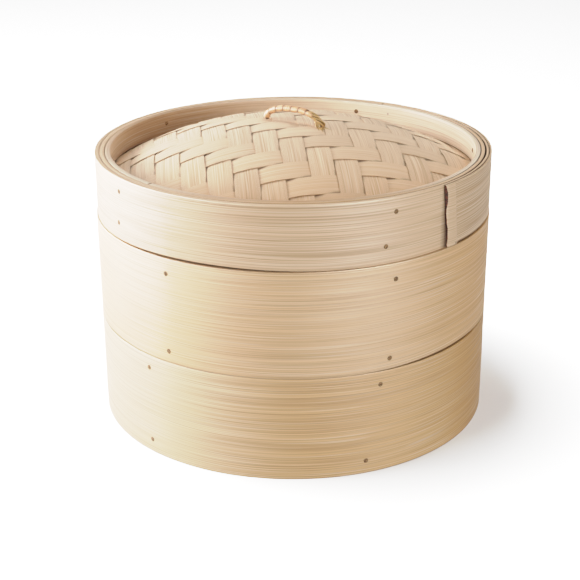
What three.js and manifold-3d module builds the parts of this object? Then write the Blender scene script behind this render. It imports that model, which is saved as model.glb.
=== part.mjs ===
// A two-tier bamboo steamer with a woven, domed lid.
// Millimetres, +Z up, origin at the centre of the base. +X runs along the lid's handle.
// Both tiers are hoops of bent bamboo round a slatted rack. The lid is a hoop that clamps a twill mat.
import * as THREE from 'three';
import { mergeVertices } from 'three/addons/utils/BufferGeometryUtils.js';
import Module from 'manifold-3d';

const wasm = await Module();
wasm.setup();

// Fits
const HOOP_GAP = 0.3; // between hoops that are pegged together
const SEAT_GAP = 0.3; // between edges that rest on each other
const NECK_FIT = 0.5; // round the neck, which slides into the wall above it
const NECK_HEADROOM = 0.8; // over the neck, so that the outer walls carry the stack
const HOLE_GAP = 0.3; // round the handle's legs where they pass through the lid

// Tiers
const OUTER_RADIUS = 101.5;
const TIER_HEIGHT = 53.2;
const WALL_STRIP = 3.0; // thickness of the bent strip that makes the outer wall
const NECK_STRIP = 3.2;
const NECK_RISE = 4.5; // how far the neck stands above the wall
const FOOT_HEIGHT = 8.2; // hoop under the rack
const SLIT = 0.8; // butt joint between the two ends of an inner hoop

// Racks
const SLAT_WIDTH = 11;
const SLAT_PITCH = 15.6;
const SLAT_THICKNESS = 2.8;
const BAR_WIDTH = 12;
const BAR_HEIGHT = 5.5;
const BAR_OFFSET = 42; // each bar's distance from the middle of the rack
const BAR_LET_IN = 0.4; // depth of the bars' flat tops in the slats

// Lid hoops
const LID_HEIGHT = 31.4;
const LID_STRIP = 2.4;
const CORE_STRIP = 2.3;
const INNER_STRIP = 2.4;

// Lap joints of the outer walls, as turned angles
const LAP = THREE.MathUtils.degToRad(58); // where two layers lie on each other
const LAP_RAMP = THREE.MathUtils.degToRad(30); // where the outer layer comes down to the wall
const LAP_SHARE = 0.55; // share of the strip's thickness that is left in the lap
const LID_LAP_AT = THREE.MathUtils.degToRad(-13.5);
const TIER_LAP_AT = THREE.MathUtils.degToRad(172);

// Dome and its weave
const DOME_DEPTH = 11; // the dome's edge below the rim
const DOME_RISE = 22; // the crown above the dome's edge
const STRIP_THICKNESS = 0.7;
const STRIP_CLEARANCE = 0.3; // between a strip and the one that it crosses
const STRIP_SPACING = 1.4; // between strips that lie side by side
const CLAMPED = 1.4; // width of the mat's edge under the inner hoop
const NARROWEST_STRIP = 3; // a narrower remnant at the edge is left out
const LINING_THICKNESS = 1.5;
const WARP = { direction: -52.2, pitch: 12.13, offset: -3.98, names: ['warp_left', 'warp_right'] };
const WEFT = { direction: 43.5, pitch: 12.83, offset: -3.92, names: ['weft_front', 'weft_back'] };
const TWILL_REPEAT = 4; // over two, under two

// Handle
const HANDLE_SPAN = 32;
const HANDLE_RISE = 6.8; // from the weave to the middle of the arch's section
const ARCH_REACH = 14; // length and height of the arch's oval corners
const ARCH_CORNER = 6.5;
const LOOP_CORNER = 1.8; // where the legs turn in under the lining
const CORE_RADIUS = 1.1;
const BUTT_GAP = 0.6; // between the two ends of the core
const WRAP_GAP = 0.25;
const WRAP_THICKNESS = 0.45;
const WRAP_WIDTH = 3.5;
const WRAP_PITCH = 4.4;

// Facets
const FACET = THREE.MathUtils.degToRad(6);
const LINING_SEGMENTS = 48;
const LINING_RINGS = 7;
const MAT_SIDES = 60;
const HOLE_SIDES = 10;
const BAR_SIDES = 8; // round its lower half
const SLAT_END_STEPS = 2;
const CORE_SIDES = 8;
const CORE_STEPS = 90;
const WRAP_STEPS = 24; // in one turn
const WRAP_PARTS = 3; // across the tape's width

// Radii and levels that follow from the sizes above
const wallInside = OUTER_RADIUS - WALL_STRIP;
const neckInside = wallInside - NECK_FIT - NECK_STRIP;
const insideReach = wallInside - HOOP_GAP;
const coreInside = insideReach - CORE_STRIP;
const innerHoopInside = coreInside - HOOP_GAP - INNER_STRIP;
const shoulder = NECK_RISE + NECK_HEADROOM;
const footTop = shoulder + FOOT_HEIGHT;
const slatBottom = footTop + SEAT_GAP;
const neckBottom = slatBottom + SLAT_THICKNESS + SEAT_GAP;
const barBottom = slatBottom + BAR_LET_IN - BAR_HEIGHT;
const upperTierLevel = TIER_HEIGHT + SEAT_GAP;
const lidLevel = 2 * upperTierLevel;

// The dome is part of a sphere, and the strips lie a little above or below it
const domeRadius = (innerHoopInside ** 2 + DOME_RISE ** 2) / (2 * DOME_RISE);
const domeCentre = LID_HEIGHT - DOME_DEPTH + DOME_RISE - domeRadius;
const strand = (STRIP_THICKNESS + STRIP_CLEARANCE) / 2;
const matHalf = strand + STRIP_THICKNESS / 2;
const matRadius = innerHoopInside + CLAMPED;
const liningTop = domeRadius - matHalf - STRIP_CLEARANCE;
const liningBottom = liningTop - LINING_THICKNESS;
const liningRadius = coreInside - HOOP_GAP;

const palest = new THREE.MeshStandardMaterial({ color: '#e2c493', roughness: 0.62, metalness: 0 });
const honey = new THREE.MeshStandardMaterial({ color: '#cfa468', roughness: 0.68, metalness: 0 });
const warpSkin = new THREE.MeshStandardMaterial({ color: '#d5b685', roughness: 0.5, metalness: 0 });
const weftSkin = new THREE.MeshStandardMaterial({ color: '#dec08e', roughness: 0.45, metalness: 0 });
const rattan = new THREE.MeshStandardMaterial({ color: '#c9a155', roughness: 0.55, metalness: 0 });

function solidOf(geometry) {
  const bare = geometry.clone();
  bare.deleteAttribute('normal');
  bare.deleteAttribute('uv');
  const merged = mergeVertices(bare, 1e-4);
  const vertProperties = new Float32Array(merged.attributes.position.array);
  const triVerts = new Uint32Array(merged.index.array);
  return new wasm.Manifold(new wasm.Mesh({ numProp: 3, vertProperties, triVerts }));
}

function geometryOf(solid) {
  const mesh = solid.getMesh();
  const geometry = new THREE.BufferGeometry();
  geometry.setAttribute('position', new THREE.BufferAttribute(mesh.vertProperties, 3));
  geometry.setIndex(new THREE.BufferAttribute(mesh.triVerts, 1));
  geometry.computeVertexNormals();
  return geometry;
}

function addPiece(group, name, geometry, material, level = 0) {
  const mesh = new THREE.Mesh(geometry, material);
  mesh.name = name;
  mesh.position.z = level;
  group.add(mesh);
}

function upright(shape, height) {
  return new THREE.ExtrudeGeometry(shape, { depth: height, bevelEnabled: false, steps: 1 });
}

// A strip bent round the axis. insideAt and thicknessAt give its inner radius and thickness at each turned angle.
function bentStrip({ start, sweep, turn = 1, height, insideAt, thicknessAt }) {
  const steps = Math.ceil(sweep / FACET);
  const outside = [];
  const inside = [];
  for (let step = 0; step <= steps; step += 1) {
    const turned = (sweep * step) / steps;
    const angle = start + turn * turned;
    const radius = insideAt(turned);
    const ray = new THREE.Vector2(Math.cos(angle), Math.sin(angle));
    inside.push(ray.clone().multiplyScalar(radius));
    outside.push(ray.clone().multiplyScalar(radius + thicknessAt(turned)));
  }
  return upright(new THREE.Shape([...outside, ...inside.reverse()]), height);
}

// An outer wall: one strip whose first stretch lies on the outside of its last, both shaved thinner there
function lappedHoop({ start, turn, thickness, height }) {
  const { smoothstep } = THREE.MathUtils;
  const round = 2 * Math.PI;
  const shaved = thickness * LAP_SHARE;
  const left = (turned) => smoothstep(turned, LAP, LAP + LAP_RAMP);
  const returned = (turned) => smoothstep(turned, round - LAP_RAMP, round);
  return bentStrip({
    start,
    sweep: round + LAP,
    turn,
    height,
    insideAt: (turned) => wallInside + (shaved + HOOP_GAP) * (1 - left(turned)),
    thicknessAt: (turned) => shaved + (thickness - shaved) * left(turned) * (1 - returned(turned)),
  });
}

// An inner hoop: one strip whose ends butt together at a slit
function buttedHoop({ start, inside, thickness, height }) {
  const slitAngle = SLIT / inside;
  const sweep = 2 * Math.PI - slitAngle;
  return bentStrip({
    start: start + slitAngle / 2, sweep, height, insideAt: () => inside, thicknessAt: () => thickness,
  });
}

// A rack bar is half a cane with its flat side up; grow widens it for the notch that takes it
function rackBar(y, grow = 0) {
  const halfWidth = BAR_WIDTH / 2 + grow;
  const depth = BAR_HEIGHT + grow;
  const section = new THREE.Shape();
  section.moveTo(-halfWidth, depth);
  section.absellipse(0, depth, halfWidth, depth, Math.PI, 2 * Math.PI, false);
  const halfLength = Math.sqrt(insideReach ** 2 - (BAR_OFFSET + BAR_WIDTH / 2) ** 2) + grow;
  const bar = new THREE.ExtrudeGeometry(section, {
    depth: 2 * halfLength, bevelEnabled: false, steps: 1, curveSegments: BAR_SIDES / 2,
  });
  bar.rotateX(Math.PI / 2);
  bar.rotateZ(Math.PI / 2);
  bar.translate(-halfLength, y, barBottom - grow);
  return solidOf(bar);
}

// A slat's ends follow the circle of the wall
function slat(x) {
  const left = x - SLAT_WIDTH / 2;
  const right = x + SLAT_WIDTH / 2;
  const far = (across) => Math.acos(across / insideReach);
  const outline = new THREE.Shape();
  outline.absarc(0, 0, insideReach, far(right), far(left), false);
  outline.absarc(0, 0, insideReach, -far(left), -far(right), false);
  outline.closePath();
  const board = new THREE.ExtrudeGeometry(outline, {
    depth: SLAT_THICKNESS, bevelEnabled: false, steps: 1, curveSegments: SLAT_END_STEPS / 2,
  });
  board.translate(0, 0, slatBottom);
  return solidOf(board);
}

function rack() {
  const count = Math.floor((2 * insideReach) / SLAT_PITCH);
  let solid = rackBar(BAR_OFFSET).add(rackBar(-BAR_OFFSET));
  for (let index = 0; index < count; index += 1) {
    solid = solid.add(slat((index - (count - 1) / 2) * SLAT_PITCH));
  }
  return geometryOf(solid);
}

// The hoop under the rack, notched for the ends of the bars
function footHoop(start) {
  const inside = insideReach - NECK_STRIP;
  const hoop = buttedHoop({ start, inside, thickness: NECK_STRIP, height: FOOT_HEIGHT });
  hoop.translate(0, 0, shoulder);
  const notched = solidOf(hoop)
    .subtract(rackBar(BAR_OFFSET, SEAT_GAP))
    .subtract(rackBar(-BAR_OFFSET, SEAT_GAP));
  return geometryOf(notched);
}

function tier(name, level) {
  const group = new THREE.Group();
  group.position.z = level;
  const wall = lappedHoop({
    start: TIER_LAP_AT, turn: -1, thickness: WALL_STRIP, height: TIER_HEIGHT,
  });
  const neck = buttedHoop({
    start: Math.PI / 2, inside: neckInside, thickness: NECK_STRIP,
    height: TIER_HEIGHT + NECK_RISE - neckBottom,
  });
  addPiece(group, `${name}_outer_hoop`, wall, palest);
  addPiece(group, `${name}_neck_hoop`, neck, honey, neckBottom);
  addPiece(group, `${name}_foot_hoop`, footHoop(-Math.PI / 2), honey);
  addPiece(group, `${name}_rack`, rack(), palest);
  return group;
}

// A point over the plan position (x, y), off the dome by the given distance
function domePoint(x, y, off) {
  const rise = Math.sqrt(domeRadius ** 2 - x ** 2 - y ** 2);
  const grown = (domeRadius + off) / domeRadius;
  return new THREE.Vector3(x * grown, y * grown, domeCentre + rise * grown);
}

function domeLevel(radius, off) {
  return domeCentre + Math.sqrt((domeRadius + off) ** 2 - radius ** 2);
}

function planAxes(family) {
  const angle = THREE.MathUtils.degToRad(family.direction);
  return {
    along: new THREE.Vector2(Math.cos(angle), Math.sin(angle)),
    across: new THREE.Vector2(-Math.sin(angle), Math.cos(angle)),
  };
}

// The numbers of the strips of one family that reach into the mat
function stripNumbers(family) {
  const half = (family.pitch - STRIP_SPACING) / 2;
  const reach = matRadius + half - NARROWEST_STRIP;
  const first = Math.ceil((-reach - family.offset) / family.pitch);
  const last = Math.floor((reach - family.offset) / family.pitch);
  return Array.from({ length: last - first + 1 }, (_, place) => first + place);
}

function warpIsOver(warpNumber, weftNumber) {
  const place = THREE.MathUtils.euclideanModulo(warpNumber + weftNumber, TWILL_REPEAT);
  return place === 1 || place === 2;
}

// Places along a strip, measured across the other family, with the strip's side of the dome at each
function strandStations(other, isOver) {
  const numbers = stripNumbers(other);
  const first = numbers[0] - 1;
  const last = numbers[numbers.length - 1] + 1;
  const sideAt = (number) => (isOver(number) ? strand : -strand);
  const stations = [{ place: other.offset + first * other.pitch, off: sideAt(first) }];
  for (let number = first; number < last; number += 1) {
    const edge = other.offset + (number + 0.5) * other.pitch;
    const before = sideAt(number);
    const after = sideAt(number + 1);
    const ramp = before === after ? 0 : STRIP_SPACING / 2;
    stations.push({ place: edge - ramp, off: before });
    if (ramp > 0) stations.push({ place: edge + ramp, off: after });
  }
  stations.push({ place: other.offset + last * other.pitch, off: sideAt(last) });
  return stations;
}

// A closed skin over rows of points, an even number in each, with a cap at each end
function loftOfRows(rows) {
  const sides = rows[0].length;
  const index = [];
  for (let row = 0; row + 1 < rows.length; row += 1) {
    for (let corner = 0; corner < sides; corner += 1) {
      const a = sides * row + corner;
      const b = sides * row + ((corner + 1) % sides);
      index.push(a, b, b + sides, a, b + sides, a + sides);
    }
  }
  const end = sides * (rows.length - 1);
  for (let a = 0; a + 1 < sides / 2; a += 1) {
    const b = a + 1;
    const d = sides - 1 - a;
    const c = d - 1;
    index.push(a, c, b, a, d, c, end + a, end + b, end + c, end + a, end + c, end + d);
  }
  const geometry = new THREE.BufferGeometry().setFromPoints(rows.flat());
  geometry.setIndex(index);
  return geometry;
}

// One strip of the twill, longer than the mat: it steps over and under the other family
function wovenStrip(family, other, number, isOver) {
  const own = planAxes(family);
  const crossed = planAxes(other);
  const half = (family.pitch - STRIP_SPACING) / 2;
  const centre = family.offset + number * family.pitch;
  const scale = own.along.dot(crossed.across);
  const skew = own.across.dot(crossed.across);
  const corner = (station, across, lift) => {
    const along = (station.place - skew * across) / scale;
    const x = own.along.x * along + own.across.x * across;
    const y = own.along.y * along + own.across.y * across;
    return domePoint(x, y, station.off + lift);
  };
  const skin = STRIP_THICKNESS / 2;
  const rows = strandStations(other, isOver).map((station) => [
    corner(station, centre - half, -skin),
    corner(station, centre + half, -skin),
    corner(station, centre + half, skin),
    corner(station, centre - half, skin),
  ]);
  if (scale < 0) rows.reverse();
  return solidOf(loftOfRows(rows));
}

// A solid with the given outline through the whole lid, for cutting it
function lidCutter(outline, curveSegments) {
  return solidOf(new THREE.ExtrudeGeometry(outline, {
    depth: 2 * LID_HEIGHT, bevelEnabled: false, steps: 1, curveSegments,
  }));
}

const legs = [HANDLE_SPAN / 2, -HANDLE_SPAN / 2].map((x) => new THREE.Vector2(x, 0));
const legClear = CORE_RADIUS + HOLE_GAP;

// A hole through the lining for one of the handle's legs
function legHole(leg) {
  const round = new THREE.Shape().absarc(leg.x, leg.y, legClear, 0, 2 * Math.PI, false);
  return lidCutter(round, HOLE_SIDES / 2);
}

// A slit from a strip's nearer edge that lets one of the handle's legs in
function legSlit(leg, across, centre, pitch) {
  const side = leg.dot(across) < centre ? -1 : 1;
  const away = across.clone().multiplyScalar(side);
  const facing = away.angle();
  const outline = new THREE.Shape();
  outline.absarc(leg.x, leg.y, legClear, facing + Math.PI / 2, facing + 1.5 * Math.PI, false);
  const edge = outline.getPoint(1).addScaledVector(away, pitch);
  outline.lineTo(edge.x, edge.y);
  const otherEdge = outline.getPoint(0).addScaledVector(away, pitch);
  outline.lineTo(otherEdge.x, otherEdge.y);
  outline.closePath();
  return lidCutter(outline, HOLE_SIDES / 4);
}

function lining() {
  const reach = Math.asin(liningRadius / liningTop);
  const arc = (radius, fraction) => {
    const angle = reach * fraction;
    return new THREE.Vector2(radius * Math.sin(angle), domeCentre + radius * Math.cos(angle));
  };
  const rings = Array.from({ length: LINING_RINGS + 1 }, (_, ring) => ring / LINING_RINGS);
  const below = rings.map((fraction) => arc(liningBottom, fraction));
  const above = rings.map((fraction) => arc(liningTop, fraction)).reverse();
  return new THREE.LatheGeometry([...below, ...above], LINING_SEGMENTS).rotateX(Math.PI / 2);
}

// The middle line of the handle's core: an arch over the weave that closes under the lining
class HandleLine extends THREE.Curve {
  constructor() {
    super();
    const side = HANDLE_SPAN / 2;
    this.foot = domeLevel(side, matHalf);
    this.top = this.foot + HANDLE_RISE;
    this.bottom = domeLevel(side, liningBottom - domeRadius) - SEAT_GAP - LOOP_CORNER;
    const topCentre = this.top - ARCH_CORNER;
    const bottomCentre = this.bottom + LOOP_CORNER;
    const quarter = Math.PI / 2;
    this.line = new THREE.Path();
    this.line.moveTo(BUTT_GAP / 2, this.bottom);
    this.line.lineTo(side / 2, this.bottom);
    this.line.absarc(side - LOOP_CORNER, bottomCentre, LOOP_CORNER, -quarter, 0, false);
    this.line.absellipse(side - ARCH_REACH, topCentre, ARCH_REACH, ARCH_CORNER, 0, quarter, false);
    this.line.absellipse(ARCH_REACH - side, topCentre, ARCH_REACH, ARCH_CORNER, quarter, 2 * quarter, false);
    this.line.absarc(LOOP_CORNER - side, bottomCentre, LOOP_CORNER, 2 * quarter, 3 * quarter, false);
    this.line.lineTo(-BUTT_GAP / 2, this.bottom);
  }

  getPoint(t, target = new THREE.Vector3()) {
    const flat = this.line.getPoint(t);
    return target.set(flat.x, 0, flat.y);
  }

  // Length of the line below the weave at each of its ends
  hiddenLength() {
    const run = HANDLE_SPAN / 2 - BUTT_GAP / 2 - LOOP_CORNER;
    const bend = (Math.PI / 2) * LOOP_CORNER;
    return run + bend + this.foot - this.bottom - LOOP_CORNER;
  }
}

function handleCore(line) {
  const section = new THREE.Shape().absarc(0, 0, CORE_RADIUS, 0, 2 * Math.PI, false);
  return new THREE.ExtrudeGeometry(section, {
    extrudePath: line, steps: CORE_STEPS, curveSegments: CORE_SIDES / 2, bevelEnabled: false,
  });
}

// A flat tape wound along the arch in one unbroken helix
function handleWrap(line) {
  const length = line.line.getLength();
  const start = line.hiddenLength() + SEAT_GAP + WRAP_WIDTH / 2;
  const turns = (length - 2 * start) / WRAP_PITCH;
  const steps = Math.ceil(turns * WRAP_STEPS);
  const near = CORE_RADIUS + WRAP_GAP;
  const far = near + WRAP_THICKNESS;
  const sideways = new THREE.Vector3(0, 1, 0);
  const shares = Array.from({ length: WRAP_PARTS + 1 }, (_, part) => part / WRAP_PARTS - 0.5);
  const around = (distance, angle, radius) => {
    const place = distance / length;
    const tangent = line.getTangent(place);
    const outward = new THREE.Vector3().crossVectors(tangent, sideways);
    const ray = outward.multiplyScalar(Math.cos(angle)).addScaledVector(sideways, Math.sin(angle));
    return line.getPoint(place).addScaledVector(ray, radius);
  };
  const rows = [];
  for (let step = 0; step <= steps; step += 1) {
    const turned = (turns * step) / steps;
    const distance = start + turned * WRAP_PITCH;
    const angle = 2 * Math.PI * turned;
    const face = (radius) => shares.map((share) => around(distance + share * WRAP_WIDTH, angle, radius));
    rows.push([...face(far), ...face(near).reverse()]);
  }
  console.log(`handle wrap: least gap to itself ${leastTurnGap(rows).toFixed(2)} mm`);
  return loftOfRows(rows);
}

// The least distance between the facing edges of neighbouring turns, point by point
function leastTurnGap(rows) {
  let least = Infinity;
  rows.forEach((row, place) => {
    const nextTurn = rows.slice(place + WRAP_STEPS / 2);
    for (const facing of nextTurn) {
      const outer = row[WRAP_PARTS].distanceTo(facing[0]);
      const inner = row[WRAP_PARTS + 1].distanceTo(facing.at(-1));
      least = Math.min(least, outer, inner);
    }
  });
  return least;
}

function stripName(family, number) {
  const [before, after] = family.names;
  return `lid_${number < 0 ? before : after}_${String(Math.abs(number)).padStart(2, '0')}`;
}

function weave(group) {
  const mat = lidCutter(new THREE.Shape().absarc(0, 0, matRadius, 0, 2 * Math.PI, false), MAT_SIDES / 2);
  const addStrips = (family, other, isOver, material) => {
    const { across } = planAxes(family);
    stripNumbers(family).forEach((number) => {
      const centre = family.offset + number * family.pitch;
      let strip = wovenStrip(family, other, number, (crossed) => isOver(number, crossed)).intersect(mat);
      legs.forEach((leg) => {
        strip = strip.subtract(legSlit(leg, across, centre, family.pitch));
      });
      addPiece(group, stripName(family, number), geometryOf(strip), material);
    });
  };
  addStrips(WARP, WEFT, (warp, weft) => warpIsOver(warp, weft), warpSkin);
  addStrips(WEFT, WARP, (weft, warp) => !warpIsOver(warp, weft), weftSkin);
}

function lid(level) {
  const group = new THREE.Group();
  group.position.z = level;
  const outer = lappedHoop({ start: LID_LAP_AT, turn: 1, thickness: LID_STRIP, height: LID_HEIGHT });
  const core = buttedHoop({
    start: Math.PI / 2, inside: coreInside, thickness: CORE_STRIP, height: LID_HEIGHT - shoulder,
  });
  const innerBottom = domeLevel(innerHoopInside, matHalf) + SEAT_GAP;
  const inner = buttedHoop({
    start: -Math.PI / 2, inside: innerHoopInside, thickness: INNER_STRIP, height: LID_HEIGHT - innerBottom,
  });
  const liningEdge = domeCentre + liningBottom * Math.cos(Math.asin(liningRadius / liningTop));
  const support = buttedHoop({
    start: Math.PI, inside: innerHoopInside, thickness: INNER_STRIP,
    height: liningEdge - SEAT_GAP - shoulder,
  });
  const pierced = legs.reduce((solid, leg) => solid.subtract(legHole(leg)), solidOf(lining()));
  const line = new HandleLine();
  addPiece(group, 'lid_outer_hoop', outer, palest);
  addPiece(group, 'lid_core_hoop', core, honey, shoulder);
  addPiece(group, 'lid_inner_hoop', inner, palest, innerBottom);
  addPiece(group, 'lid_support_hoop', support, honey, shoulder);
  addPiece(group, 'lid_lining', geometryOf(pierced), honey);
  addPiece(group, 'handle_core', handleCore(line), rattan);
  addPiece(group, 'handle_wrap', handleWrap(line), palest);
  weave(group);
  return group;
}

const steamer = new THREE.Group();
steamer.add(tier('lower', 0), tier('upper', upperTierLevel), lid(lidLevel));

export default steamer;
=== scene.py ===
"""Dresses a two-tier bamboo steamer: bent hoops, racks, a twill-woven domed lid and its wrapped handle.

Sizes are in millimetres and angles in degrees unless a docstring says otherwise. Blender works in metres.
"""

import bisect
import logging
import math
from collections.abc import Sequence
from dataclasses import dataclass, field
from enum import Enum

import bmesh
import bpy
from mathutils import Matrix, Vector, noise


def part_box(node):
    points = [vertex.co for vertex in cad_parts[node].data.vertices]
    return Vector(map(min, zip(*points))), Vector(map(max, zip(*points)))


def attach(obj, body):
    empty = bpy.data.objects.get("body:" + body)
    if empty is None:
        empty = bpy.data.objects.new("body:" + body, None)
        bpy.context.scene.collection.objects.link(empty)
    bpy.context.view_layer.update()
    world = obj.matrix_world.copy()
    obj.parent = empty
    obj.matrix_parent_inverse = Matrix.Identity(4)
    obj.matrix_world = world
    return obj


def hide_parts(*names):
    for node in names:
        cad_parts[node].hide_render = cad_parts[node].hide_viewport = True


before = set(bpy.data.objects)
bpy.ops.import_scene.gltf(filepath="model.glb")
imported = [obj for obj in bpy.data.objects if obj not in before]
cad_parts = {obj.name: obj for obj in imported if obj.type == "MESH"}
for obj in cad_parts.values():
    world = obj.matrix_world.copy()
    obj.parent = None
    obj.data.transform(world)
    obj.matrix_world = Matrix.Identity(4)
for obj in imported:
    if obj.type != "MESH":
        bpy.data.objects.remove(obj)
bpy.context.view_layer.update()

LOG = logging.getLogger("steamer")
MM = 0.001
PHOTO_PIXELS = 580

MATH = "ShaderNodeMath"
VECTOR_MATH = "ShaderNodeVectorMath"

Colour = tuple[float, float, float, float]
Inputs = dict[int | str, object] | Sequence[object]
Material = bpy.types.Material
Piece = bpy.types.Object
Socket = bpy.types.NodeSocket
Tree = bpy.types.NodeTree


class Body(Enum):
    """The moving bodies that the pieces ride on."""

    LOWER = "lower_tier"
    UPPER = "upper_tier"
    LID = "lid"


class Slot(Enum):
    """The record's material slots."""

    WALL = "wall_bamboo"
    INNER = "inner_bamboo"
    WARP = "warp_strip"
    WEFT = "weft_strip"
    RATTAN = "rattan"
    TAPE = "handle_tape"


def linear(hex_colour: str) -> Colour:
    """Turns an sRGB hex colour into linear RGBA.

    Args:
        hex_colour: Six hex digits after a hash sign.

    Returns:
        The linear colour, with full alpha.
    """
    channels = [int(hex_colour[place:place + 2], 16) / 255 for place in (1, 3, 5)]
    red, green, blue = (c / 12.92 if c <= 0.04045 else ((c + 0.055) / 1.055) ** 2.4 for c in channels)
    return red, green, blue, 1.0


def add_node(tree: Tree, kind: str, inputs: Inputs = (), **settings: object) -> bpy.types.Node:
    """Adds a node with its settings, and fills its inputs.

    Args:
        tree: The node tree that gets the node.
        kind: The node's type name.
        inputs: Values, or outputs to link, in the inputs' order or by their names or numbers.
        settings: The node's own properties.

    Returns:
        The new node.
    """
    node = tree.nodes.new(kind)
    for name, value in settings.items():
        setattr(node, name, value)
    keyed = inputs if isinstance(inputs, dict) else dict(enumerate(inputs))
    for key, value in keyed.items():
        if isinstance(value, Socket):
            tree.links.new(value, node.inputs[key])
        else:
            node.inputs[key].default_value = value
    return node


def smoothstep(low: float, high: float, value: float) -> float:
    """Rises smoothly from 0 at low to 1 at high."""
    share = min(1.0, max(0.0, (value - low) / (high - low)))
    return share * share * (3 - 2 * share)


def wander(place: float, seed: float) -> float:
    """A smooth, repeatable unevenness of about -1 to 1 along a line, one swing in about 1.5 units."""
    return 1.6 * noise.noise(Vector((place, seed * 7.31, seed * 3.17)))


def hump(angle: float, middle: float, half_width: float) -> float:
    """1 at the middle angle, falling to 0 at half_width degrees from it."""
    away = abs((angle - middle + 180) % 360 - 180)
    return 1 - smoothstep(0, half_width, away)


def hand_over(piece: Piece, body: Body, nodes: Sequence[str] = ()) -> None:
    """Lets a finished piece ride on its body, and stand for the CAD nodes that it replaces.

    Args:
        piece: The finished piece, at the origin.
        body: The body that carries it.
        nodes: The CAD nodes that it stands for.
    """
    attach(piece, body.value)
    if nodes:
        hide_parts(*nodes)
    LOG.info("%s rides on %s: %d faces", piece.name, body.value, len(piece.data.polygons))


class View:
    """The photograph's camera, which places on the object are also measured from."""

    azimuth = 31.8
    elevation = 22.083
    distance = 710.36
    target_height = 57.23
    lens = 82.25
    sensor = 36
    roll = 0.217
    axis_right_of_centre = 3.44  # pixels

    @classmethod
    def direction(cls, right: float, up: float) -> Vector:
        """A unit vector from the object.

        Args:
            right: Degrees that it is turned right from the camera.
            up: Degrees that it is raised from the horizon.

        Returns:
            The vector.
        """
        turn = math.radians(cls.azimuth + right)
        lift = math.radians(up)
        return Vector((math.sin(turn) * math.cos(lift), -math.cos(turn) * math.cos(lift), math.sin(lift)))

    @classmethod
    def angle(cls, right: float) -> float:
        """The object's own angle of a place that lies the given degrees right of the front."""
        return cls.azimuth + right - 90

    @classmethod
    def make_camera(cls) -> None:
        """Makes the scene's camera."""
        data = bpy.data.cameras.new("photo_camera")
        data.lens = cls.lens
        data.sensor_width = cls.sensor
        data.shift_x = -cls.axis_right_of_centre / PHOTO_PIXELS
        data.clip_start = 0.01
        data.clip_end = 20
        camera = bpy.data.objects.new("photo_camera", data)
        out = cls.direction(0, cls.elevation)
        aim = (-out).to_track_quat("-Z", "Y").to_matrix()
        turn = aim @ Matrix.Rotation(math.radians(-cls.roll), 3, "Z")
        place = Vector((0, 0, cls.target_height)) + out * cls.distance
        camera.matrix_world = Matrix.LocRotScale(place * MM, turn, None)
        bpy.context.scene.collection.objects.link(camera)
        bpy.context.scene.camera = camera


# Finishes


@dataclass(frozen=True)
class Finish:
    """A surface, whose material is made once and then shared."""

    name: str

    def material(self) -> Material:
        """Makes the material, once for each finish.

        Returns:
            The material, or the one that was made before.
        """
        material = bpy.data.materials.get(self.name)
        if material is None:
            material = bpy.data.materials.new(self.name)
            material.use_nodes = True
            tree = material.node_tree
            tree.nodes.clear()
            shader = add_node(tree, "ShaderNodeBsdfPrincipled", self.surface(tree))
            add_node(tree, "ShaderNodeOutputMaterial", {"Surface": shader.outputs[0]})
        return material

    def surface(self, tree: Tree) -> dict[str, object]:
        """The shader's inputs, with the nodes that they need added to the tree."""
        raise NotImplementedError


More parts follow.
